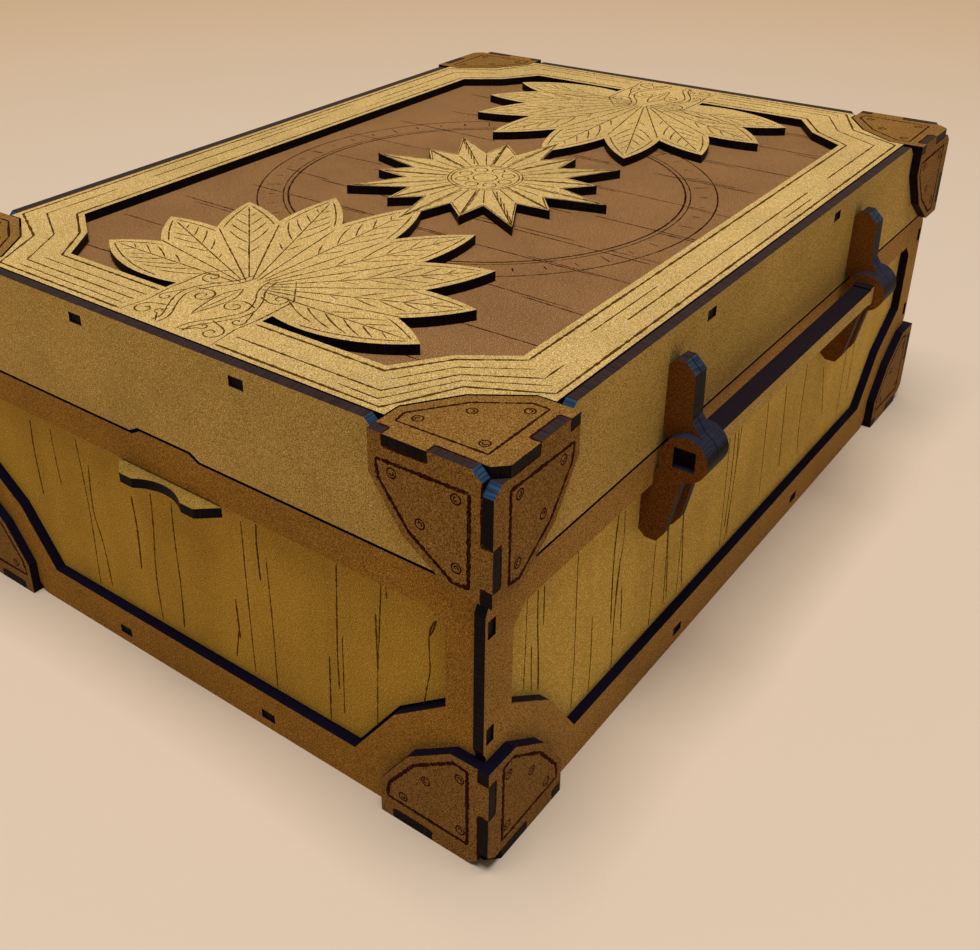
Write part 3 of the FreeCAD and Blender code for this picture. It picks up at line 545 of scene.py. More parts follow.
def line_tree():
    """Paths become engraved lines: wavering ribbons that taper and thicken as they run."""
    tree, given, result = new_tree("Engraved Lines", "Geometry", dict(
        Paths="Geometry", Line_Width=0.0005, Relief=0.00008, Spacing=0.0009, Waver=0.0002,
        Seed=7, Finish="Material",
    ), dict(Lines="Geometry"))
    curve = geo(tree, "MeshToCurve", Mesh=given["Paths"])
    curve = geo(tree, "ResampleCurve", {"mode": "LENGTH"}, Curve=curve, Length=given["Spacing"])
    facing = named(tree, "FLOAT_VECTOR", "facing")
    place = geo(tree, "InputPosition")
    drift, grain = (
        add(tree, "ShaderNodeTexNoise", {"noise_dimensions": "4D"}, Vector=place,
            W=given["Seed"], Scale=scale, Detail=detail)
        for scale, detail in ((260.0, 2.0), (1400.0, 1.0))
    )
    sway = scaled(drift["Color"] - (0.5, 0.5, 0.5), given["Waver"] * 2.0)
    curve = geo(tree, "SetPosition", Geometry=curve, Offset=sway)
    radius = named(tree, "FLOAT", "weight") * ramp(grain["Fac"], 0.3, 0.7, 0.55, 1.3)
    curve = geo(tree, "SetCurveRadius", Curve=curve, Radius=radius)
    curve = geo(tree, "SetCurveNormal", {"mode": "FREE"}, Curve=curve, Normal=facing)
    rods = sweep(curve, given["Line Width"], geo(tree, "InputRadius"))
    # Press the rods towards the plane that their line lies in, until they are ribbons.
    lift = calc("DOT_PRODUCT", place, facing) - named(tree, "FLOAT", "level")
    lift = lift * (given["Relief"] / given["Line Width"] - 1.0)
    pressed = geo(tree, "SetPosition", Geometry=rods, Offset=scaled(facing, lift))
    return hand_over(tree, given, result, pressed)


def rivet_tree():
    """Points become rivet marks: a ring with a small curl inside, turned at random."""
    tree, given, result = new_tree("Rivet Marks", "Geometry", dict(
        Places="Geometry", Radius=0.0013, Line_Width=0.0004, Relief=0.00008, Seed=7,
        Finish="Material",
    ), dict(Marks="Geometry"))
    ring = geo(tree, "CurvePrimitiveCircle", Resolution=14, Radius=given["Radius"])
    inside = geo(tree, "CurveArc", Resolution=6, Radius=given["Radius"] * 0.45,
                 Start_Angle=0.4, Sweep_Angle=3.6)
    shapes = tree.nodes.new("GeometryNodeJoinGeometry")
    for path in (ring, inside):
        feed(shapes.inputs[0], sweep(path, given["Line Width"]))
    share = given["Relief"] / given["Line Width"]
    shape = add(tree, "ShaderNodeCombineXYZ", None, 1.0, 1.0, share)[0]
    flat = geo(tree, "Transform", Geometry=Value(shapes.outputs[0]), Scale=shape)
    face = add(tree, "FunctionNodeAlignRotationToVector", {"axis": "Z"},
               Vector=named(tree, "FLOAT_VECTOR", "facing"))[0]
    turn = tree.nodes.new("FunctionNodeRandomValue")
    # The upper limit of a random number; the first Max is that of a random vector.
    feed(turn.inputs[3], 2 * math.pi)
    feed(turn.inputs["Seed"], given["Seed"])
    spin = add(tree, "FunctionNodeAxisAngleToRotation", Axis=(0.0, 0.0, 1.0),
               Angle=Value(turn.outputs[1]))[0]
    both = add(tree, "FunctionNodeRotateRotation", {"rotation_space": "LOCAL"}, face, spin)[0]
    points = geo(tree, "MeshToPoints", Mesh=given["Places"])
    marks = geo(tree, "InstanceOnPoints", Points=points, Instance=flat, Rotation=both)
    return hand_over(tree, given, result, marks)


def path_mesh(name, paths):
    """Paths as one mesh of edges, or single points, that carries facing, level and weight.

    Each path is (points, facing, weight), its points in metres.
    """
    points, edges, facings, levels, weights = [], [], [], [], []
    for path, facing, weight in paths:
        start = len(points)
        for i, point in enumerate(path):
            points.append(Vector(point))
            facings += facing
            levels.append(Vector(facing).dot(Vector(point)))
            at_end = i in (0, len(path) - 1) and len(path) > 2
            weights.append(weight * (END_WEIGHT if at_end else 1.0))
        edges += [(i, i + 1) for i in range(start, len(points) - 1)]
    mesh = bpy.data.meshes.new(name)
    mesh.from_pydata(points, edges, [])
    for label, kind, field, values in (
        ("facing", "FLOAT_VECTOR", "vector", facings), ("level", "FLOAT", "value", levels),
        ("weight", "FLOAT", "value", weights),
    ):
        mesh.attributes.new(label, kind, "POINT").data.foreach_set(field, values)
    return mesh


def put_in_scene(name, data):
    """A new object in the scene."""
    item = bpy.data.objects.new(name, data)
    bpy.context.scene.collection.objects.link(item)
    return item


def grow(name, paths, tree, body, look, **values):
    """Run a Geometry Nodes tree once, keep its result as a plain mesh, and mount it."""
    scene = bpy.context.scene
    values.update(Relief=scene.chest_engraving.relief, Seed=scene.chest_engraving.seed,
                  Finish=line_material(scene.chest_finish, look))
    carrier = put_in_scene(name + "_source", path_mesh(name, paths))
    modifier = carrier.modifiers.new(tree.name, "NODES")
    modifier.node_group = tree
    for socket in tree.interface.items_tree:
        label = socket.name.replace(" ", "_")
        if label in values:
            modifier[socket.identifier] = values[label]
    graph = bpy.context.evaluated_depsgraph_get()
    mesh = bpy.data.meshes.new_from_object(carrier.evaluated_get(graph))
    bpy.data.objects.remove(carrier)
    if not mesh.polygons:
        raise RuntimeError("%s came out empty" % name)
    for attribute in ("facing", "level", "weight"):
        if attribute in mesh.attributes:
            mesh.attributes.remove(mesh.attributes[attribute])
    mesh.name = name
    piece = put_in_scene(name, mesh)
    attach(piece, body)


def engrave(name, paths, body, look, width=None, spacing=1.0, waver=1.0):
    """Engrave paths in the boards of one body; spacing and waver are shares of the usual."""
    sizes = bpy.context.scene.chest_engraving
    grow(name, paths, made_once("Engraved Lines", line_tree), body, look,
         Line_Width=width or sizes.line_width, Spacing=sizes.spacing * spacing,
         Waver=sizes.waver * waver)


def face_level(node, axis, facing):
    """The coordinate of a board's outer face."""
    return high(node, axis) if facing > 0 else low(node, axis)


def on_face(axis, level, facing, points, weight):
    """A path in a face's plane, from points in millimetres, whose first coordinate runs along
    the chest or across it, and the second up or across."""
    places = [[a * MM, b * MM] for a, b in points]
    for place in places:
        place.insert(axis, level)
    return places, [float(facing if i == axis else 0) for i in range(3)], weight


# ---- paths
def polar(reach, angle, x=0.0, y=0.0):
    """A point at a distance and an angle from another one."""
    return (x + reach * math.cos(angle), y + reach * math.sin(angle))


def circle(x, y, radius, count=48):
    """A circle as a path."""
    return [polar(radius, 2 * math.pi * i / count, x, y) for i in range(count + 1)]


def curl(x, y, radius, turns, angle, hand):
    """A spiral inwards, from a point at an angle on its outer turn."""
    shares = [k / 32 for k in range(33)]
    return [polar(radius * (1.0 - 0.84 * share), angle + hand * turns * 2 * math.pi * share, x, y)
            for share in shares]


def even_steps(path, step):
    """A path in even steps, with its corners kept."""
    result = [Vector(path[0])]
    for a, b in zip(path, path[1:]):
        a, b = Vector(a), Vector(b)
        count = max(1, round((b - a).length / step))
        result += [a.lerp(b, i / count) for i in range(1, count + 1)]
    return [tuple(p) for p in result]


def smooth(points, step):
    """A path through its points with rounded corners, in even steps."""
    path = [Vector(p) for p in points]
    for _ in range(2):
        cut = [path[0]]
        for a, b in zip(path, path[1:]):
            cut += [a.lerp(b, 0.25), a.lerp(b, 0.75)]
        path = cut + [path[-1]]
    return even_steps(path, step)


def beside(path, gap):
    """A path's two sides, each half a gap away from it."""
    around = [Vector(point) for point in path[:1] + path + path[-1:]]
    ways = [(after - before).normalized() * (gap / 2)
            for before, after in zip(around, around[2:])]
    return [[(x - hand * way.y, y + hand * way.x) for (x, y), way in zip(path, ways)]
            for hand in (1, -1)]


def kept_runs(path, keep):
    """The stretches of a path whose points pass a test."""
    runs = [list(run) for passed, run in itertools.groupby(path, keep) if passed]
    return [run for run in runs if len(run) > 2]


def broken(path, chance, shortest, longest, gap):
    """A path in stretches with gaps between them."""
    stretches, i = [], 0
    while i < len(path) - 4:
        count = chance.randint(shortest, longest)
        stretches.append(path[i:i + count])
        i += count + chance.randint(*gap)
    return [s for s in stretches if len(s) > 4]


def centred(path):
    """A path round zero, moved to the chest's centre."""
    return [(x + CENTRE.x / MM, y + CENTRE.y / MM) for x, y in path]


# ---- plank lines
# Lines down the drawer's front and the end panel beside it: along Y and up.
DRAWER_LINES = [
    [(-10.2, 34.8), (-11.3, 15.8)], [(17.7, 65.8), (17.4, 42.2), (17.6, 14.5)],
    [(23.3, 67.2), (22.8, 60.0), (23.1, 48.9)], [(25.9, 58.1), (26.3, 36.2), (25.9, 13.1)],
    [(12.5, 27.2), (10.4, 16.6)], [(50.6, 67.3), (49.1, 38.4), (49.2, 26.2)],
    [(51.2, 44.8), (50.9, 33.3), (50.5, 18.5)], [(46.3, 35.6), (45.5, 13.4)],
    [(64.6, 67.5), (63.6, 53.1), (62.5, 40.3), (61.8, 20.9)],
    [(62.5, 57.6), (62.6, 51.3), (62.5, 40.3)], [(66.1, 68.2), (66.2, 63.7)],
    [(80.9, 64.6), (80.0, 63.2), (78.9, 60.3), (78.6, 56.5), (79.1, 48.6), (78.2, 44.4),
     (76.9, 36.8)],
    [(80.9, 64.6), (80.2, 61.6), (79.0, 59.1)], [(-71.5, 64.9), (-72.5, 55.2), (-71.8, 38.0)],
    [(-61.8, 65.4), (-61.7, 53.3), (-60.9, 45.4)],
    [(-49.9, 66.6), (-49.2, 56.3), (-48.6, 39.0), (-49.5, 13.8)],
    [(-45.6, 58.8), (-47.3, 41.3), (-44.5, 32.9), (-43.5, 16.0)],
    [(-27.3, 55.3), (-26.6, 44.2), (-27.5, 29.6)],
    [(-18.4, 60.0), (-19.0, 48.5), (-21.3, 30.0), (-20.7, 14.4)],
    [(-9.8, 60.7), (-10.4, 48.8), (-10.3, 32.2), (-10.9, 17.5)], [(12.4, 37.8), (12.7, 24.1)],
]
# Lines down the hinge side's panel: along X and up.
HINGE_SIDE_LINES = [
    [(123.7, 66.1), (123.8, 51.6), (124.1, 37.9)],
    [(119.0, 65.7), (118.9, 56.8), (117.7, 44.3), (117.2, 33.1)],
    [(116.2, 65.7), (116.0, 53.1)], [(121.1, 50.4), (120.5, 35.5)],
    [(101.0, 68.8), (100.2, 41.8), (99.7, 28.2), (100.1, 14.1)],
    [(91.5, 39.9), (90.8, 25.3), (91.0, 13.2)], [(80.8, 66.4), (82.1, 52.7), (80.9, 30.1)],
    [(77.6, 65.8), (76.7, 55.3), (79.4, 44.0), (78.7, 13.2)],
    [(78.1, 50.3), (78.5, 40.7), (79.3, 30.5), (78.6, 13.4)], [(75.9, 39.7), (74.7, 23.9)],
    [(57.6, 68.9), (56.9, 27.0), (56.9, 13.2)], [(51.6, 60.8), (49.1, 30.7), (48.3, 15.8)],
    [(41.6, 67.3), (39.9, 28.1), (39.8, 14.0)], [(12.9, 66.0), (10.7, 28.8), (10.0, 14.0)],
    [(3.6, 61.4), (5.3, 27.4), (5.2, 15.1)], [(8.5, 55.8), (7.4, 40.8), (7.8, 20.1)],
    [(6.2, 57.4), (4.2, 39.1), (6.5, 14.9)], [(-15.1, 68.3), (-17.8, 38.1), (-19.3, 17.1)],
    [(-30.6, 55.8), (-33.1, 33.5), (-34.6, 21.4)],
    [(-47.6, 67.7), (-48.3, 32.3), (-51.4, 18.3)], [(-65.4, 46.7), (-72.2, 24.2)],
    [(41.0, 47.7), (36.4, 14.5)], [(49.9, 44.8), (46.6, 16.7)],
    [(-88.0, 67.5), (-88.8, 40.0), (-89.4, 16.0)], [(-96.4, 52.0), (-97.0, 22.0)],
]
# Between these heights lie the panels' lines, this far inside the chest's corners.
PANEL_BOTTOM, PANEL_TOP = 13.0, 70.0
SIDE_INSET, END_INSET = 16.0, 18.0
# The narrowest and widest plank where lines are random, and the range of the lines' weights.
PLANK_WIDTHS, PLANK_WEIGHTS = (15.0, 27.0), (0.7, 1.2)
# Where planks meet on the lid's panel, and the radii of its dial's rings and ticks.
LID_PLANKS = (-112.0, -91.0, -66.0, -44.0, -20.0, 3.0, 25.0, 44.0, 65.0, 88.0, 112.0)
DIAL_RADII = (65.2, 65.5, 67.0, 75.5)
DIAL_TICKS, LONG_TICK, SHORT_TICK = 48, (68.5, 73.8), (69.8, 72.6)


def random_planks(chance, start, end):
    """Lines down a panel: a long one every plank, with shorter ones close beside it."""
    lines = []
    bottom, top = PANEL_BOTTOM, PANEL_TOP
    place = start + chance.uniform(4.0, 10.0)
    while place < end - 3.0:
        drift = chance.uniform(-1.2, 1.2)
        lines.append([
            (place, top - chance.uniform(0.5, 4.0)), (place + drift * 0.4, (top + bottom) / 2),
            (place + drift, bottom + chance.uniform(0.8, 6.0)),
        ])
        for _ in range(chance.randint(0, 2)):
            near = place + chance.choice((-1, 1)) * chance.uniform(1.8, 5.0)
            foot = chance.uniform(bottom + 1.0, top - 22.0)
            head = foot + chance.uniform(12.0, min(34.0, top - 1.0 - foot))
            if start + 1.5 < near < end - 1.5:
                lines.append([(near, head), (near + drift * 0.5, foot)])
        place += chance.uniform(*PLANK_WIDTHS)
    return lines


def lid_panel_lines(chance):
    """Lines across the lid's panel, some doubled, and a dial of rings with ticks."""
    lines = []
    for x in LID_PLANKS:
        for shift in (0.0, chance.choice((-1.6, 1.8))):
            foot = chance.uniform(-79.0, -60.0) if shift == 0.0 else chance.uniform(-70.0, 30.0)
            while foot < 70.0:
                head = min(80.0, foot + chance.uniform(18.0, 75.0))
                lines.append([(x + shift, foot), (x + shift + chance.uniform(-0.8, 0.8), head)])
                foot = head + chance.uniform(3.0, 26.0 if shift == 0.0 else 60.0)
    lines += [circle(0.0, 0.0, radius, 96) for radius in DIAL_RADII]
    for i in range(DIAL_TICKS):
        angle = 2 * math.pi * (i + 0.5) / DIAL_TICKS
        lines.append([polar(reach, angle) for reach in (SHORT_TICK if i % 4 else LONG_TICK)])
    return lines


class CHEST_OT_engrave_planks(bpy.types.Operator):
    """Engrave plank lines on the drawer's front, the panels and the lid's panel"""

    bl_idname = "dice_chest.engrave_planks"
    bl_label = "Engrave Planks"

    def execute(self, context):
        chance = random.Random(context.scene.chest_engraving.seed)
        faces = {"drawer": [], "chest": [], "lid": []}

        def draw(body, axis, node, facing, lines):
            level = face_level(node, axis, facing)
            faces[body] += [
                on_face(axis, level, facing, smooth(line, 4.0), chance.uniform(*PLANK_WEIGHTS))
                for line in lines
            ]

        first, last = (edge("drawer_front", 1) / MM for edge in (low, high))
        front = [line for line in DRAWER_LINES if first < line[0][0] < last]
        draw("drawer", 0, "drawer_front", 1, front)
        outside = [line for line in DRAWER_LINES if line not in front]
        draw("chest", 0, "end_panel_drawer", 1, outside)
        draw("chest", 1, "side_panel_hinge", 1, HINGE_SIDE_LINES)
        for node, axis, along, inset in (("side_panel_front", 1, 0, SIDE_INSET),
                                         ("end_panel_far", 0, 1, END_INSET)):
            centre, reach = CENTRE[along] / MM, HALF[along] / MM - inset
            draw("chest", axis, node, -1, random_planks(chance, centre - reach, centre + reach))
        draw("lid", 2, "lid_panel", 1, [centred(line) for line in lid_panel_lines(chance)])
        width = context.scene.chest_engraving.plank_width
        engrave("drawer_plank_lines", faces["drawer"], "drawer", "tan", width)
        engrave("panel_plank_lines", faces["chest"], "chest", "tan", width)
        engrave("lid_panel_lines", faces["lid"], "lid", "brown")
        return {"FINISHED"}


# ---- overlay
# How far from the star's centre its long and short points and its valleys lie.
STAR = {"points": 16, "long": 46.0, "short": 37.0, "valley": 27.0}
# Where a spray's leaves spring from, the pairs beside its middle leaf, the turn from leaf to
# leaf, the middle leaf's size, and how much shorter each next leaf is.
SPRAY = {"root": 110.0, "pairs": 4, "turn": 22.5, "length": 76.0, "width": 22.0, "shrink": 4.5}
# A leaf is widest at a share of its length. Its midrib starts this far from the root, its
# side veins follow at even shares, and its lines end short of its tip, edge and neighbour.
WIDEST, MIDRIB_START, MIDRIB_END, LEAF_TIP = 0.45, 6.0, 0.92, 0.96
VEINS, FIRST_VEIN, VEIN_PITCH = 6, 0.26, 0.108
VEIN_GAP, RIM_INSET, RIM_GAP = 2.6, 1.5, 1.2
# Rings in the star, as radius and number of points, and the beads between them.
STAR_RINGS = ((12.5, 36), (11.3, 36), (4.0, 18))
BEADS, BEAD_REACH, BEAD_RADIUS = 8, 7.8, 2.2
BRIDGE_HALF = 17.5
OPENING_EDGE = 123.5

# Lines round the border: how far its corner's two ends are from the walls, its middle, the
# weight, and for a broken line the shortest and longest stretch and its gaps, in steps.
BORDER_LINES = (
    ((43.3, 19.3), 33.4, 1.6, None), ((33.4, 5.5), 23.9, 1.6, None),
    ((37.9, 11.4), 28.1, 1.2, (34, 80, (4, 16))), ((36.0, 8.2), 26.0, 0.9, (12, 34, (36, 80))),
    ((40.6, 15.2), 30.7, 0.9, (10, 30, (60, 120))),
)

# Scrollwork on a bridge: its stem, and tendrils that lead from it into a curl.
STEM = [(135.5, 4.2), (129.5, 8.6), (122.5, 12.2), (115.5, 9.4), (110.0, 4.4), (104.0, 3.2)]
TENDRILS = (
    ([(130.5, 7.6), (132.0, 12.6)], (135.6, 12.4, 3.5, 1.25, 3.1, -1)),
    ([(121.0, 12.6), (124.6, 14.6)], (127.4, 13.4, 2.3, 1.1, 2.6, -1)),
    ([(119.0, 11.2), (117.6, 7.4)], (121.2, 5.9, 3.7, 1.35, 2.7, 1)),
    ([(113.0, 7.2), (114.4, 11.6)], (111.3, 12.6, 3.2, 1.2, -0.3, 1)),
    ([(139.0, 4.3), (136.2, 7.2)], (134.2, 8.0, 1.7, 1.0, -0.4, 1)),
)
BUD = [(112.0, 0.0), (117.0, 2.6), (124.0, 2.0), (131.0, 0.0)]
DOTS = ((106.6, 7.6), (117.2, 14.4), (130.6, 14.8), (125.8, 9.0), (138.6, 8.6), (126.6, 4.4),
        (115.6, 4.6))


def star_reach(angle):
    """Distance from the star's centre to its outline at an angle."""
    half_step = math.pi / STAR["points"]
    turn = (angle % (4 * half_step)) / half_step
    tips = [STAR[part] for part in ("long", "valley", "short", "valley", "long")]
    i = min(3, int(turn))
    a = Vector((tips[i], 0.0))
    way = Vector(polar(1.0, (turn - i) * half_step))
    side = Matrix.Rotation(half_step, 2) @ Vector((tips[i + 1], 0.0)) - a
    return (a.x * side.y - a.y * side.x) / (way.x * side.y - way.y * side.x)


def outside_star(point):
    """Whether a point is clear of the star's outline."""
    x, y = point
    return math.hypot(x, y) > star_reach(math.atan2(y, x)) + 1.0


def leaf_half_width(share):
    """Half the width of a leaf, at a share of its length."""
    bend = (share - WIDEST) / (WIDEST if share < WIDEST else 1.0 - WIDEST)
    return SPRAY["width"] / 2 * (1.0 - bend * bend)


def leaf_lines(long, at, room):
    """Midrib, side veins and rims of one leaf, from its length, a function that places a
    point, and one for how far from the midrib a line may lie."""
    run = long * MIDRIB_END - MIDRIB_START
    lines = [[at(MIDRIB_START + run * k / 40, 0.0) for k in range(41)]]
    for hand in (-1, 1):
        for k in range(VEINS):
            start = long * (FIRST_VEIN + VEIN_PITCH * k)
            vein = []
            for step in range(10):
                distance = start + step * 1.5
                across = 0.4 + 1.05 * step - 0.04 * step * step
                if distance > long * LEAF_TIP or across > room(distance, hand) - VEIN_GAP:
                    break
                vein.append(at(distance, hand * across))
            lines.append(vein)
        # The rim follows the leaf's edge a little inside it.
        spots = [long * (0.46 + 0.50 * k / 32) for k in range(33)]
        rim = [(spot, leaf_half_width(spot / long) - RIM_INSET) for spot in spots]
        lines.append([at(spot, hand * across) for spot, across in rim
                      if 0.2 < across <= room(spot, hand) - RIM_GAP])
    return lines


def spray_lines(sign):
    """The lines of one spray's leaves, and those between neighbours."""
    lines = []
    root = Vector((sign * SPRAY["root"], 0.0))
    turn = math.radians(SPRAY["turn"])
    for i in range(-SPRAY["pairs"], SPRAY["pairs"] + 1):
        long = SPRAY["length"] - SPRAY["shrink"] * abs(i)
        angle = (math.pi if sign > 0 else 0.0) + turn * i
        along = Vector(polar(1.0, angle))
        side = Vector((-along.y, along.x))

        def at(distance, across):
            return tuple(root + along * distance + side * across)

        def room(distance, hand):
            """To the leaf's own edge, or to the next leaf where that one covers it."""
            own = leaf_half_width(distance / long)
            covered = abs(i) < SPRAY["pairs"] or hand * i * sign < 0
            return min(own, distance * math.tan(turn / 2)) if covered else own

        paths = leaf_lines(long, at, room)
        if i < SPRAY["pairs"]:
            # The line between this leaf and the next, where they overlap.
            split = angle + turn / 2
            paths.append([polar(4.0 + 1.5 * k, split, root.x, root.y) for k in range(29)])
        for path in paths:
            lines += kept_runs(path, outside_star)
    return lines


def star_lines():
    """Facets of the star: its outline, ribs to every tip and valley, and its rings."""
    angles = [math.pi * i / STAR["points"] for i in range(STAR["points"] * 2 + 1)]
    outline = [polar(star_reach(angle) - (1.6 if i % 2 == 0 else 0.8), angle)
               for i, angle in enumerate(angles)]
    lines = [[a, b] for a, b in zip(outline, outline[1:])]
    for i, angle in enumerate(angles[:-1]):
        reach = star_reach(angle)
        lines.append([polar(13.0, angle), polar(reach - 2.5, angle)])
        # Fine shading on one side of every tip.
        for k in range(5 if i % 2 == 0 else 0):
            a = reach * (0.32 + 0.12 * k)
            lines.append([polar(a + 9.0, angle), polar(a, angle + (0.078 - 0.013 * k))])
    lines += [circle(0.0, 0.0, *ring) for ring in STAR_RINGS]
    lines += [circle(*polar(BEAD_REACH, 2 * math.pi * i / BEADS), BEAD_RADIUS, 12)
              for i in range(BEADS)]
    return lines


def bridge_lines(sign):
    """Scrollwork on a bridge: its edges over the border, mirrored stems with tendrils, a bud
    between them, and dots."""
    outer = HALF.x / MM - 5.0
    edge = [(100.0, 8.0), (110.0, 16.4), (OPENING_EDGE, 16.8), (131.0, 16.0), (outer, 17.4)]
    shapes = [edge] + beside(smooth([(outer - 0.5, 4.5)] + STEM, 1.5), 2.1)
    for lead, spiral in TENDRILS:
        path = curl(*spiral)
        shapes.append(smooth(lead + path[:1], 1.5)[:-1] + path)
    shapes.append(smooth(BUD, 1.5))
    shapes += [circle(x, y, 0.4, 8) for x, y in DOTS]
    lines = [[(x, y * hand) for x, y in path] for hand in (-1, 1) for path in shapes]
    lines.append([(114.5, 0.0), (121.0, 0.2), (127.5, 0.0)])
    return [[(sign * x, y) for x, y in line] for line in lines]


def quarter_ring(ends, middle_point):
    """A closed path round the lid, from one corner's distances to both walls."""
    quarter = [ends, (middle_point, middle_point), ends[::-1]]
    points = []
    for sign_x, sign_y in ((1, 1), (1, -1), (-1, -1), (-1, 1)):
        corner = [(sign_x * (HALF.x / MM - a), sign_y * (HALF.y / MM - b)) for a, b in quarter]
        points += corner if sign_x * sign_y > 0 else corner[::-1]
    return points + points[:1]


def border_lines(chance):
    """Lines round the border, whole or broken, with their weights; the bridges cut them."""
    lines = []
    for ends, middle_point, weight, breaks in BORDER_LINES:
        ring = even_steps(quarter_ring(ends, middle_point), 2.0)
        for run in kept_runs(ring, lambda point: abs(point[1]) > BRIDGE_HALF):
            lines += [(s, weight) for s in (broken(run, chance, *breaks) if breaks else [run])]
    return lines


class CHEST_OT_engrave_overlay(bpy.types.Operator):
    """Engrave the lid's overlay: border lines, scrollwork, veins and the star's facets"""

    bl_idname = "dice_chest.engrave_overlay"
    bl_label = "Engrave Overlay"

    def execute(self, context):
        lines = border_lines(random.Random(context.scene.chest_engraving.seed + 1))
        for sign in (-1, 1):
            lines += [(line, 1.0) for line in bridge_lines(sign)]
            lines += [(line, 0.95) for line in spray_lines(sign)]
        lines += [(line, 0.9) for line in star_lines()]
        paths = [on_face(2, TOP, 1, centred(line), weight) for line, weight in lines]
        engrave("lid_overlay_lines", paths, "lid", "tan")
        return {"FINISHED"}


# ---- corner brackets
# Outlines, finger joints and rivets of a bracket's plates: distance from the chest's corner
# edge, and from the cap's outer face; those of a cap are distances from both walls.
PLATE_OUTLINE = [(27.9, 6.6), (3.1, 6.2), (3.2, 30.1), (7.2, 30.6), (19.1, 22.3), (27.2, 11.4)]
CAP_OUTLINE = [(26.7, 2.9), (26.7, 7.3), (19.0, 18.5), (6.8, 27.5), (3.0, 26.9), (3.6, 3.1)]
PLATE_SEAMS = {
    "end": [[(14, 0), (14, 3), (26, 3), (26, 0)], [(0, 3), (0, 18), (-3, 18)],
            [(-3, 29), (0, 29), (0, 33)]],
    "side": [[(3, 3), (14, 3), (14, 0)], [(26, 0), (26, 3), (30, 3)],
             [(-3, 18), (0, 18), (0, 29), (-3, 29)]],
    "cap": [[(0, 30), (0, 26), (-3, 26)], [(-3, 14), (0, 14), (0, 3)],
            [(14, -3), (14, 0), (26, 0), (26, -3)]],
}
RIVETS = {
    "cap": [(23.5, 5.9), (16.1, 16.1), (6.6, 23.6), (6.7, 6.1)],
    "lid": [(23.5, 9.0), (6.5, 8.8), (16.0, 19.0), (6.4, 26.3)],
    "foot": [(22.8, 9.2), (15.6, 19.2), (5.4, 26.4), (5.2, 9.5)],
}
PLATES = ("end", "side", "cap")
CAP_LINE_WEIGHT = 0.65
# An outline is drawn in closer steps than other lines, and with less waver.
OUTLINE_SPACING, OUTLINE_WAVER = 0.6, 0.35


def bracket_plates():
    """Every plate that is engraved: its kind of bracket, its plate, its node and its signs."""
    for (end, sign_x), (side, sign_y) in itertools.product(
            (("drawer", 1), ("far", -1)), (("hinge", 1), ("front", -1))):
        for kind, plates in (("foot", PLATES[:2]), ("lid", PLATES)):
            for plate in plates:
                name = plate if plate == "cap" else plate + "_plate"
                yield kind, plate, "_".join((kind, end, side, name)), (sign_x, sign_y, 1)


def on_plate(kind, plate, signs, a, b):
    """A point's place in a plate's plane, in millimetres, from its distances."""
    def from_edge(axis, distance):
        return CENTRE[axis] / MM + signs[axis] * (HALF[axis] / MM - distance)

    if plate == "cap":
        return from_edge(0, a), from_edge(1, b)
    return from_edge(1 if plate == "end" else 0, a), b if kind == "foot" else TOP / MM - b


class CHEST_OT_engrave_brackets(bpy.types.Operator):
    """Engrave an outline and rivet marks on every corner bracket's plates"""

    bl_idname = "dice_chest.engrave_brackets"
    bl_label = "Engrave Brackets"

    def execute(self, context):
        sizes = context.scene.chest_engraving
        bodies = {kind: {"seams": [], "outlines": [], "rivets": []} for kind in ("foot", "lid")}
        for kind, plate, node, signs in bracket_plates():
            axis = PLATES.index(plate)
            level = face_level(node, axis, signs[axis])

            def draw(what, points, step=None, weight=1.0):
                places = [on_plate(kind, plate, signs, a, b) for a, b in points]
                places = even_steps(places, step) if step else places
                bodies[kind][what].append(on_face(axis, level, signs[axis], places, weight))

            shape, weight = PLATE_OUTLINE, 1.0
            if plate == "cap":
                shape, weight = CAP_OUTLINE, CAP_LINE_WEIGHT
            draw("outlines", shape + shape[:1], 1.5, weight)
            for line in PLATE_SEAMS[plate]:
                draw("seams", line, 2.0)
            for spot in RIVETS["cap" if plate == "cap" else kind]:
                draw("rivets", [spot])
        for kind, body in (("foot", "chest"), ("lid", "lid")):
            paths = bodies[kind]
            engrave(body + "_bracket_seams", paths["seams"], body, "brown", sizes.seam_width)
            engrave(body + "_bracket_outlines", paths["outlines"], body, "brown",
                    sizes.outline_width, OUTLINE_SPACING, OUTLINE_WAVER)
            grow(body + "_rivet_marks", paths["rivets"], made_once("Rivet Marks", rivet_tree),
                 body, "brown", Radius=sizes.rivet_radius, Line_Width=sizes.rivet_width)
        return {"FINISHED"}


# ---- stage
# The floor's colour shifts between these distances from the chest.
FLOOR_SHIFT = (0.25, 1.15)
LAMP_COLOUR = (1.0, 0.97, 0.92)
LAMP_WAY = Vector((0.88, 0.47, 0.0))
CAMERA = {
    "sensor_width": 36.0, "lens": 43.75, "shift_x": 0.0766, "shift_y": -0.1037,
    "clip_start": 0.01, "clip_end": 20.0,
}
CAMERA_PLACE = Vector((0.310894, 0.211053, 0.242912))
CAMERA_FORWARD = Vector((-0.69050945, -0.54933254, -0.47056398))
CAMERA_UP = Vector((-0.37946427, -0.27873427, 0.8822211))


def floor_material(stage):
    """A plain floor, whose colour shifts a little with the distance from the chest."""
    material, tree, shader = new_material("studio floor")
    away = ramp(calc("LENGTH", add(tree, "ShaderNodeTexCoord")["Object"]), *FLOOR_SHIFT)
    fill(shader, Base_Color=mix(away, stage.near_floor, stage.far_floor), Roughness=0.9,
         Specular_IOR_Level=0.1)
    return material


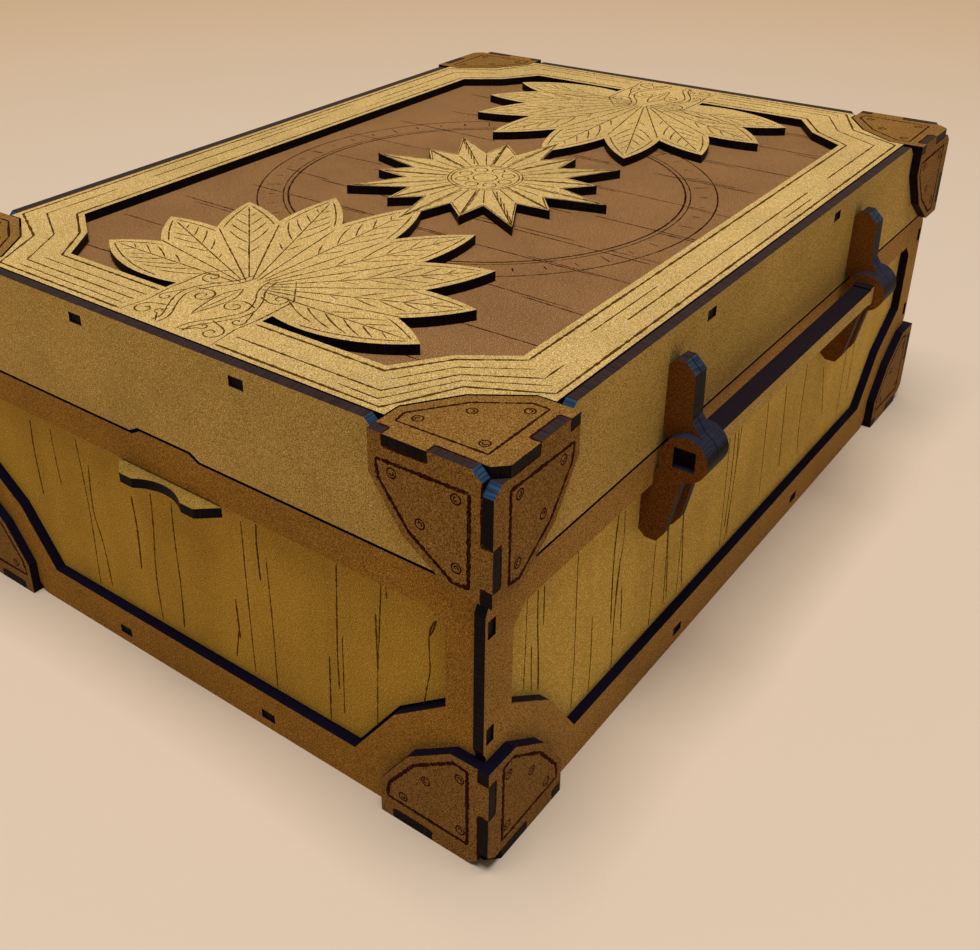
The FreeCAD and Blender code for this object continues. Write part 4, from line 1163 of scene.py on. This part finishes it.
class CHEST_OT_set_stage(bpy.types.Operator):
    """Lay the floor, hang the lamp, light the sky and place the camera"""

    bl_idname = "dice_chest.set_stage"
    bl_label = "Set Stage"

    def execute(self, context):
        stage = context.scene.chest_stage
        rim = [(x, y, 0.0) for x, y in circle(0.0, 0.0, stage.floor_radius, 96)[:-1]]
        mesh = bpy.data.meshes.new("studio_floor")
        mesh.from_pydata(rim, [], [tuple(range(len(rim)))])
        mesh.materials.append(floor_material(stage))
        put_in_scene("studio_floor", mesh)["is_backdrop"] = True

        lamp = bpy.data.lights.new("overhead_lamp", "AREA")
        configure(lamp, energy=stage.key_power, shape="SQUARE", size=stage.key_size,
                  color=LAMP_COLOUR)
        lean = LAMP_WAY * stage.key_lean
        put_in_scene("overhead_lamp", lamp).location = (lean.x, lean.y, stage.key_height)

        world = bpy.data.worlds.new("studio_sky")
        context.scene.world = world
        world.use_nodes = True
        tree = world.node_tree
        path = add(tree, "ShaderNodeLightPath")
        seen = calc("MAXIMUM", path["Is Camera Ray"], path["Is Glossy Ray"])
        fill(tree.nodes["Background"].inputs,
             Color=mix(seen, stage.sky_colour, stage.far_floor),
             Strength=ramp(seen, 0.0, 1.0, stage.sky, stage.distance))

        camera = bpy.data.cameras.new("view_camera")
        configure(camera, **CAMERA)
        viewer = put_in_scene("view_camera", camera)
        right = CAMERA_FORWARD.cross(CAMERA_UP)
        place = Matrix((right, CAMERA_UP, -CAMERA_FORWARD)).transposed().to_4x4()
        place.translation = CAMERA_PLACE
        viewer.matrix_world = place
        context.scene.camera = viewer
        context.scene.view_settings.view_transform = "Standard"
        return {"FINISHED"}


# ---- add-on
class CHEST_PT_panel(bpy.types.Panel):
    """Sizes, colours and steps of the dice storage chest"""

    bl_idname = "CHEST_PT_panel"
    bl_label = "Dice Storage Chest"
    bl_space_type = "VIEW_3D"
    bl_region_type = "UI"
    bl_category = "Dice Chest"

    def draw(self, context):
        layout = self.layout
        for group in GROUPS:
            box = layout.box()
            settings = getattr(context.scene, group)
            for name in settings.__annotations__:
                box.prop(settings, name)
        for operator in OPERATORS:
            layout.operator(operator.bl_idname)


GROUPS = {
    "chest_finish": ChestFinish, "chest_engraving": ChestEngraving, "chest_stage": ChestStage,
}
OPERATORS = (
    CHEST_OT_finish_boards, CHEST_OT_engrave_planks, CHEST_OT_engrave_overlay,
    CHEST_OT_engrave_brackets, CHEST_OT_set_stage,
)
CLASSES = (*GROUPS.values(), *OPERATORS, CHEST_PT_panel)


def register():
    """Add the classes and the scene's settings."""
    for item in CLASSES:
        bpy.utils.register_class(item)
    for name, group in GROUPS.items():
        setattr(bpy.types.Scene, name, bpy.props.PointerProperty(type=group))


def unregister():
    """Remove the scene's settings and the classes."""
    for name in GROUPS:
        delattr(bpy.types.Scene, name)
    for item in reversed(CLASSES):
        bpy.utils.unregister_class(item)


def main():
    """Finish and engrave the chest, set the stage, and work out both boxes."""
    register()
    bpy.ops.dice_chest.finish_boards()
    bpy.ops.dice_chest.engrave_planks()
    bpy.ops.dice_chest.engrave_overlay()
    bpy.ops.dice_chest.engrave_brackets()
    bpy.ops.dice_chest.set_stage()
    boxes = {"cad": CAD_BOX, "visual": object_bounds()}
    for name, corners in boxes.items():
        boxes[name] = [[float(value) for value in corner] for corner in corners]


if __name__ == "__main__":
    main()
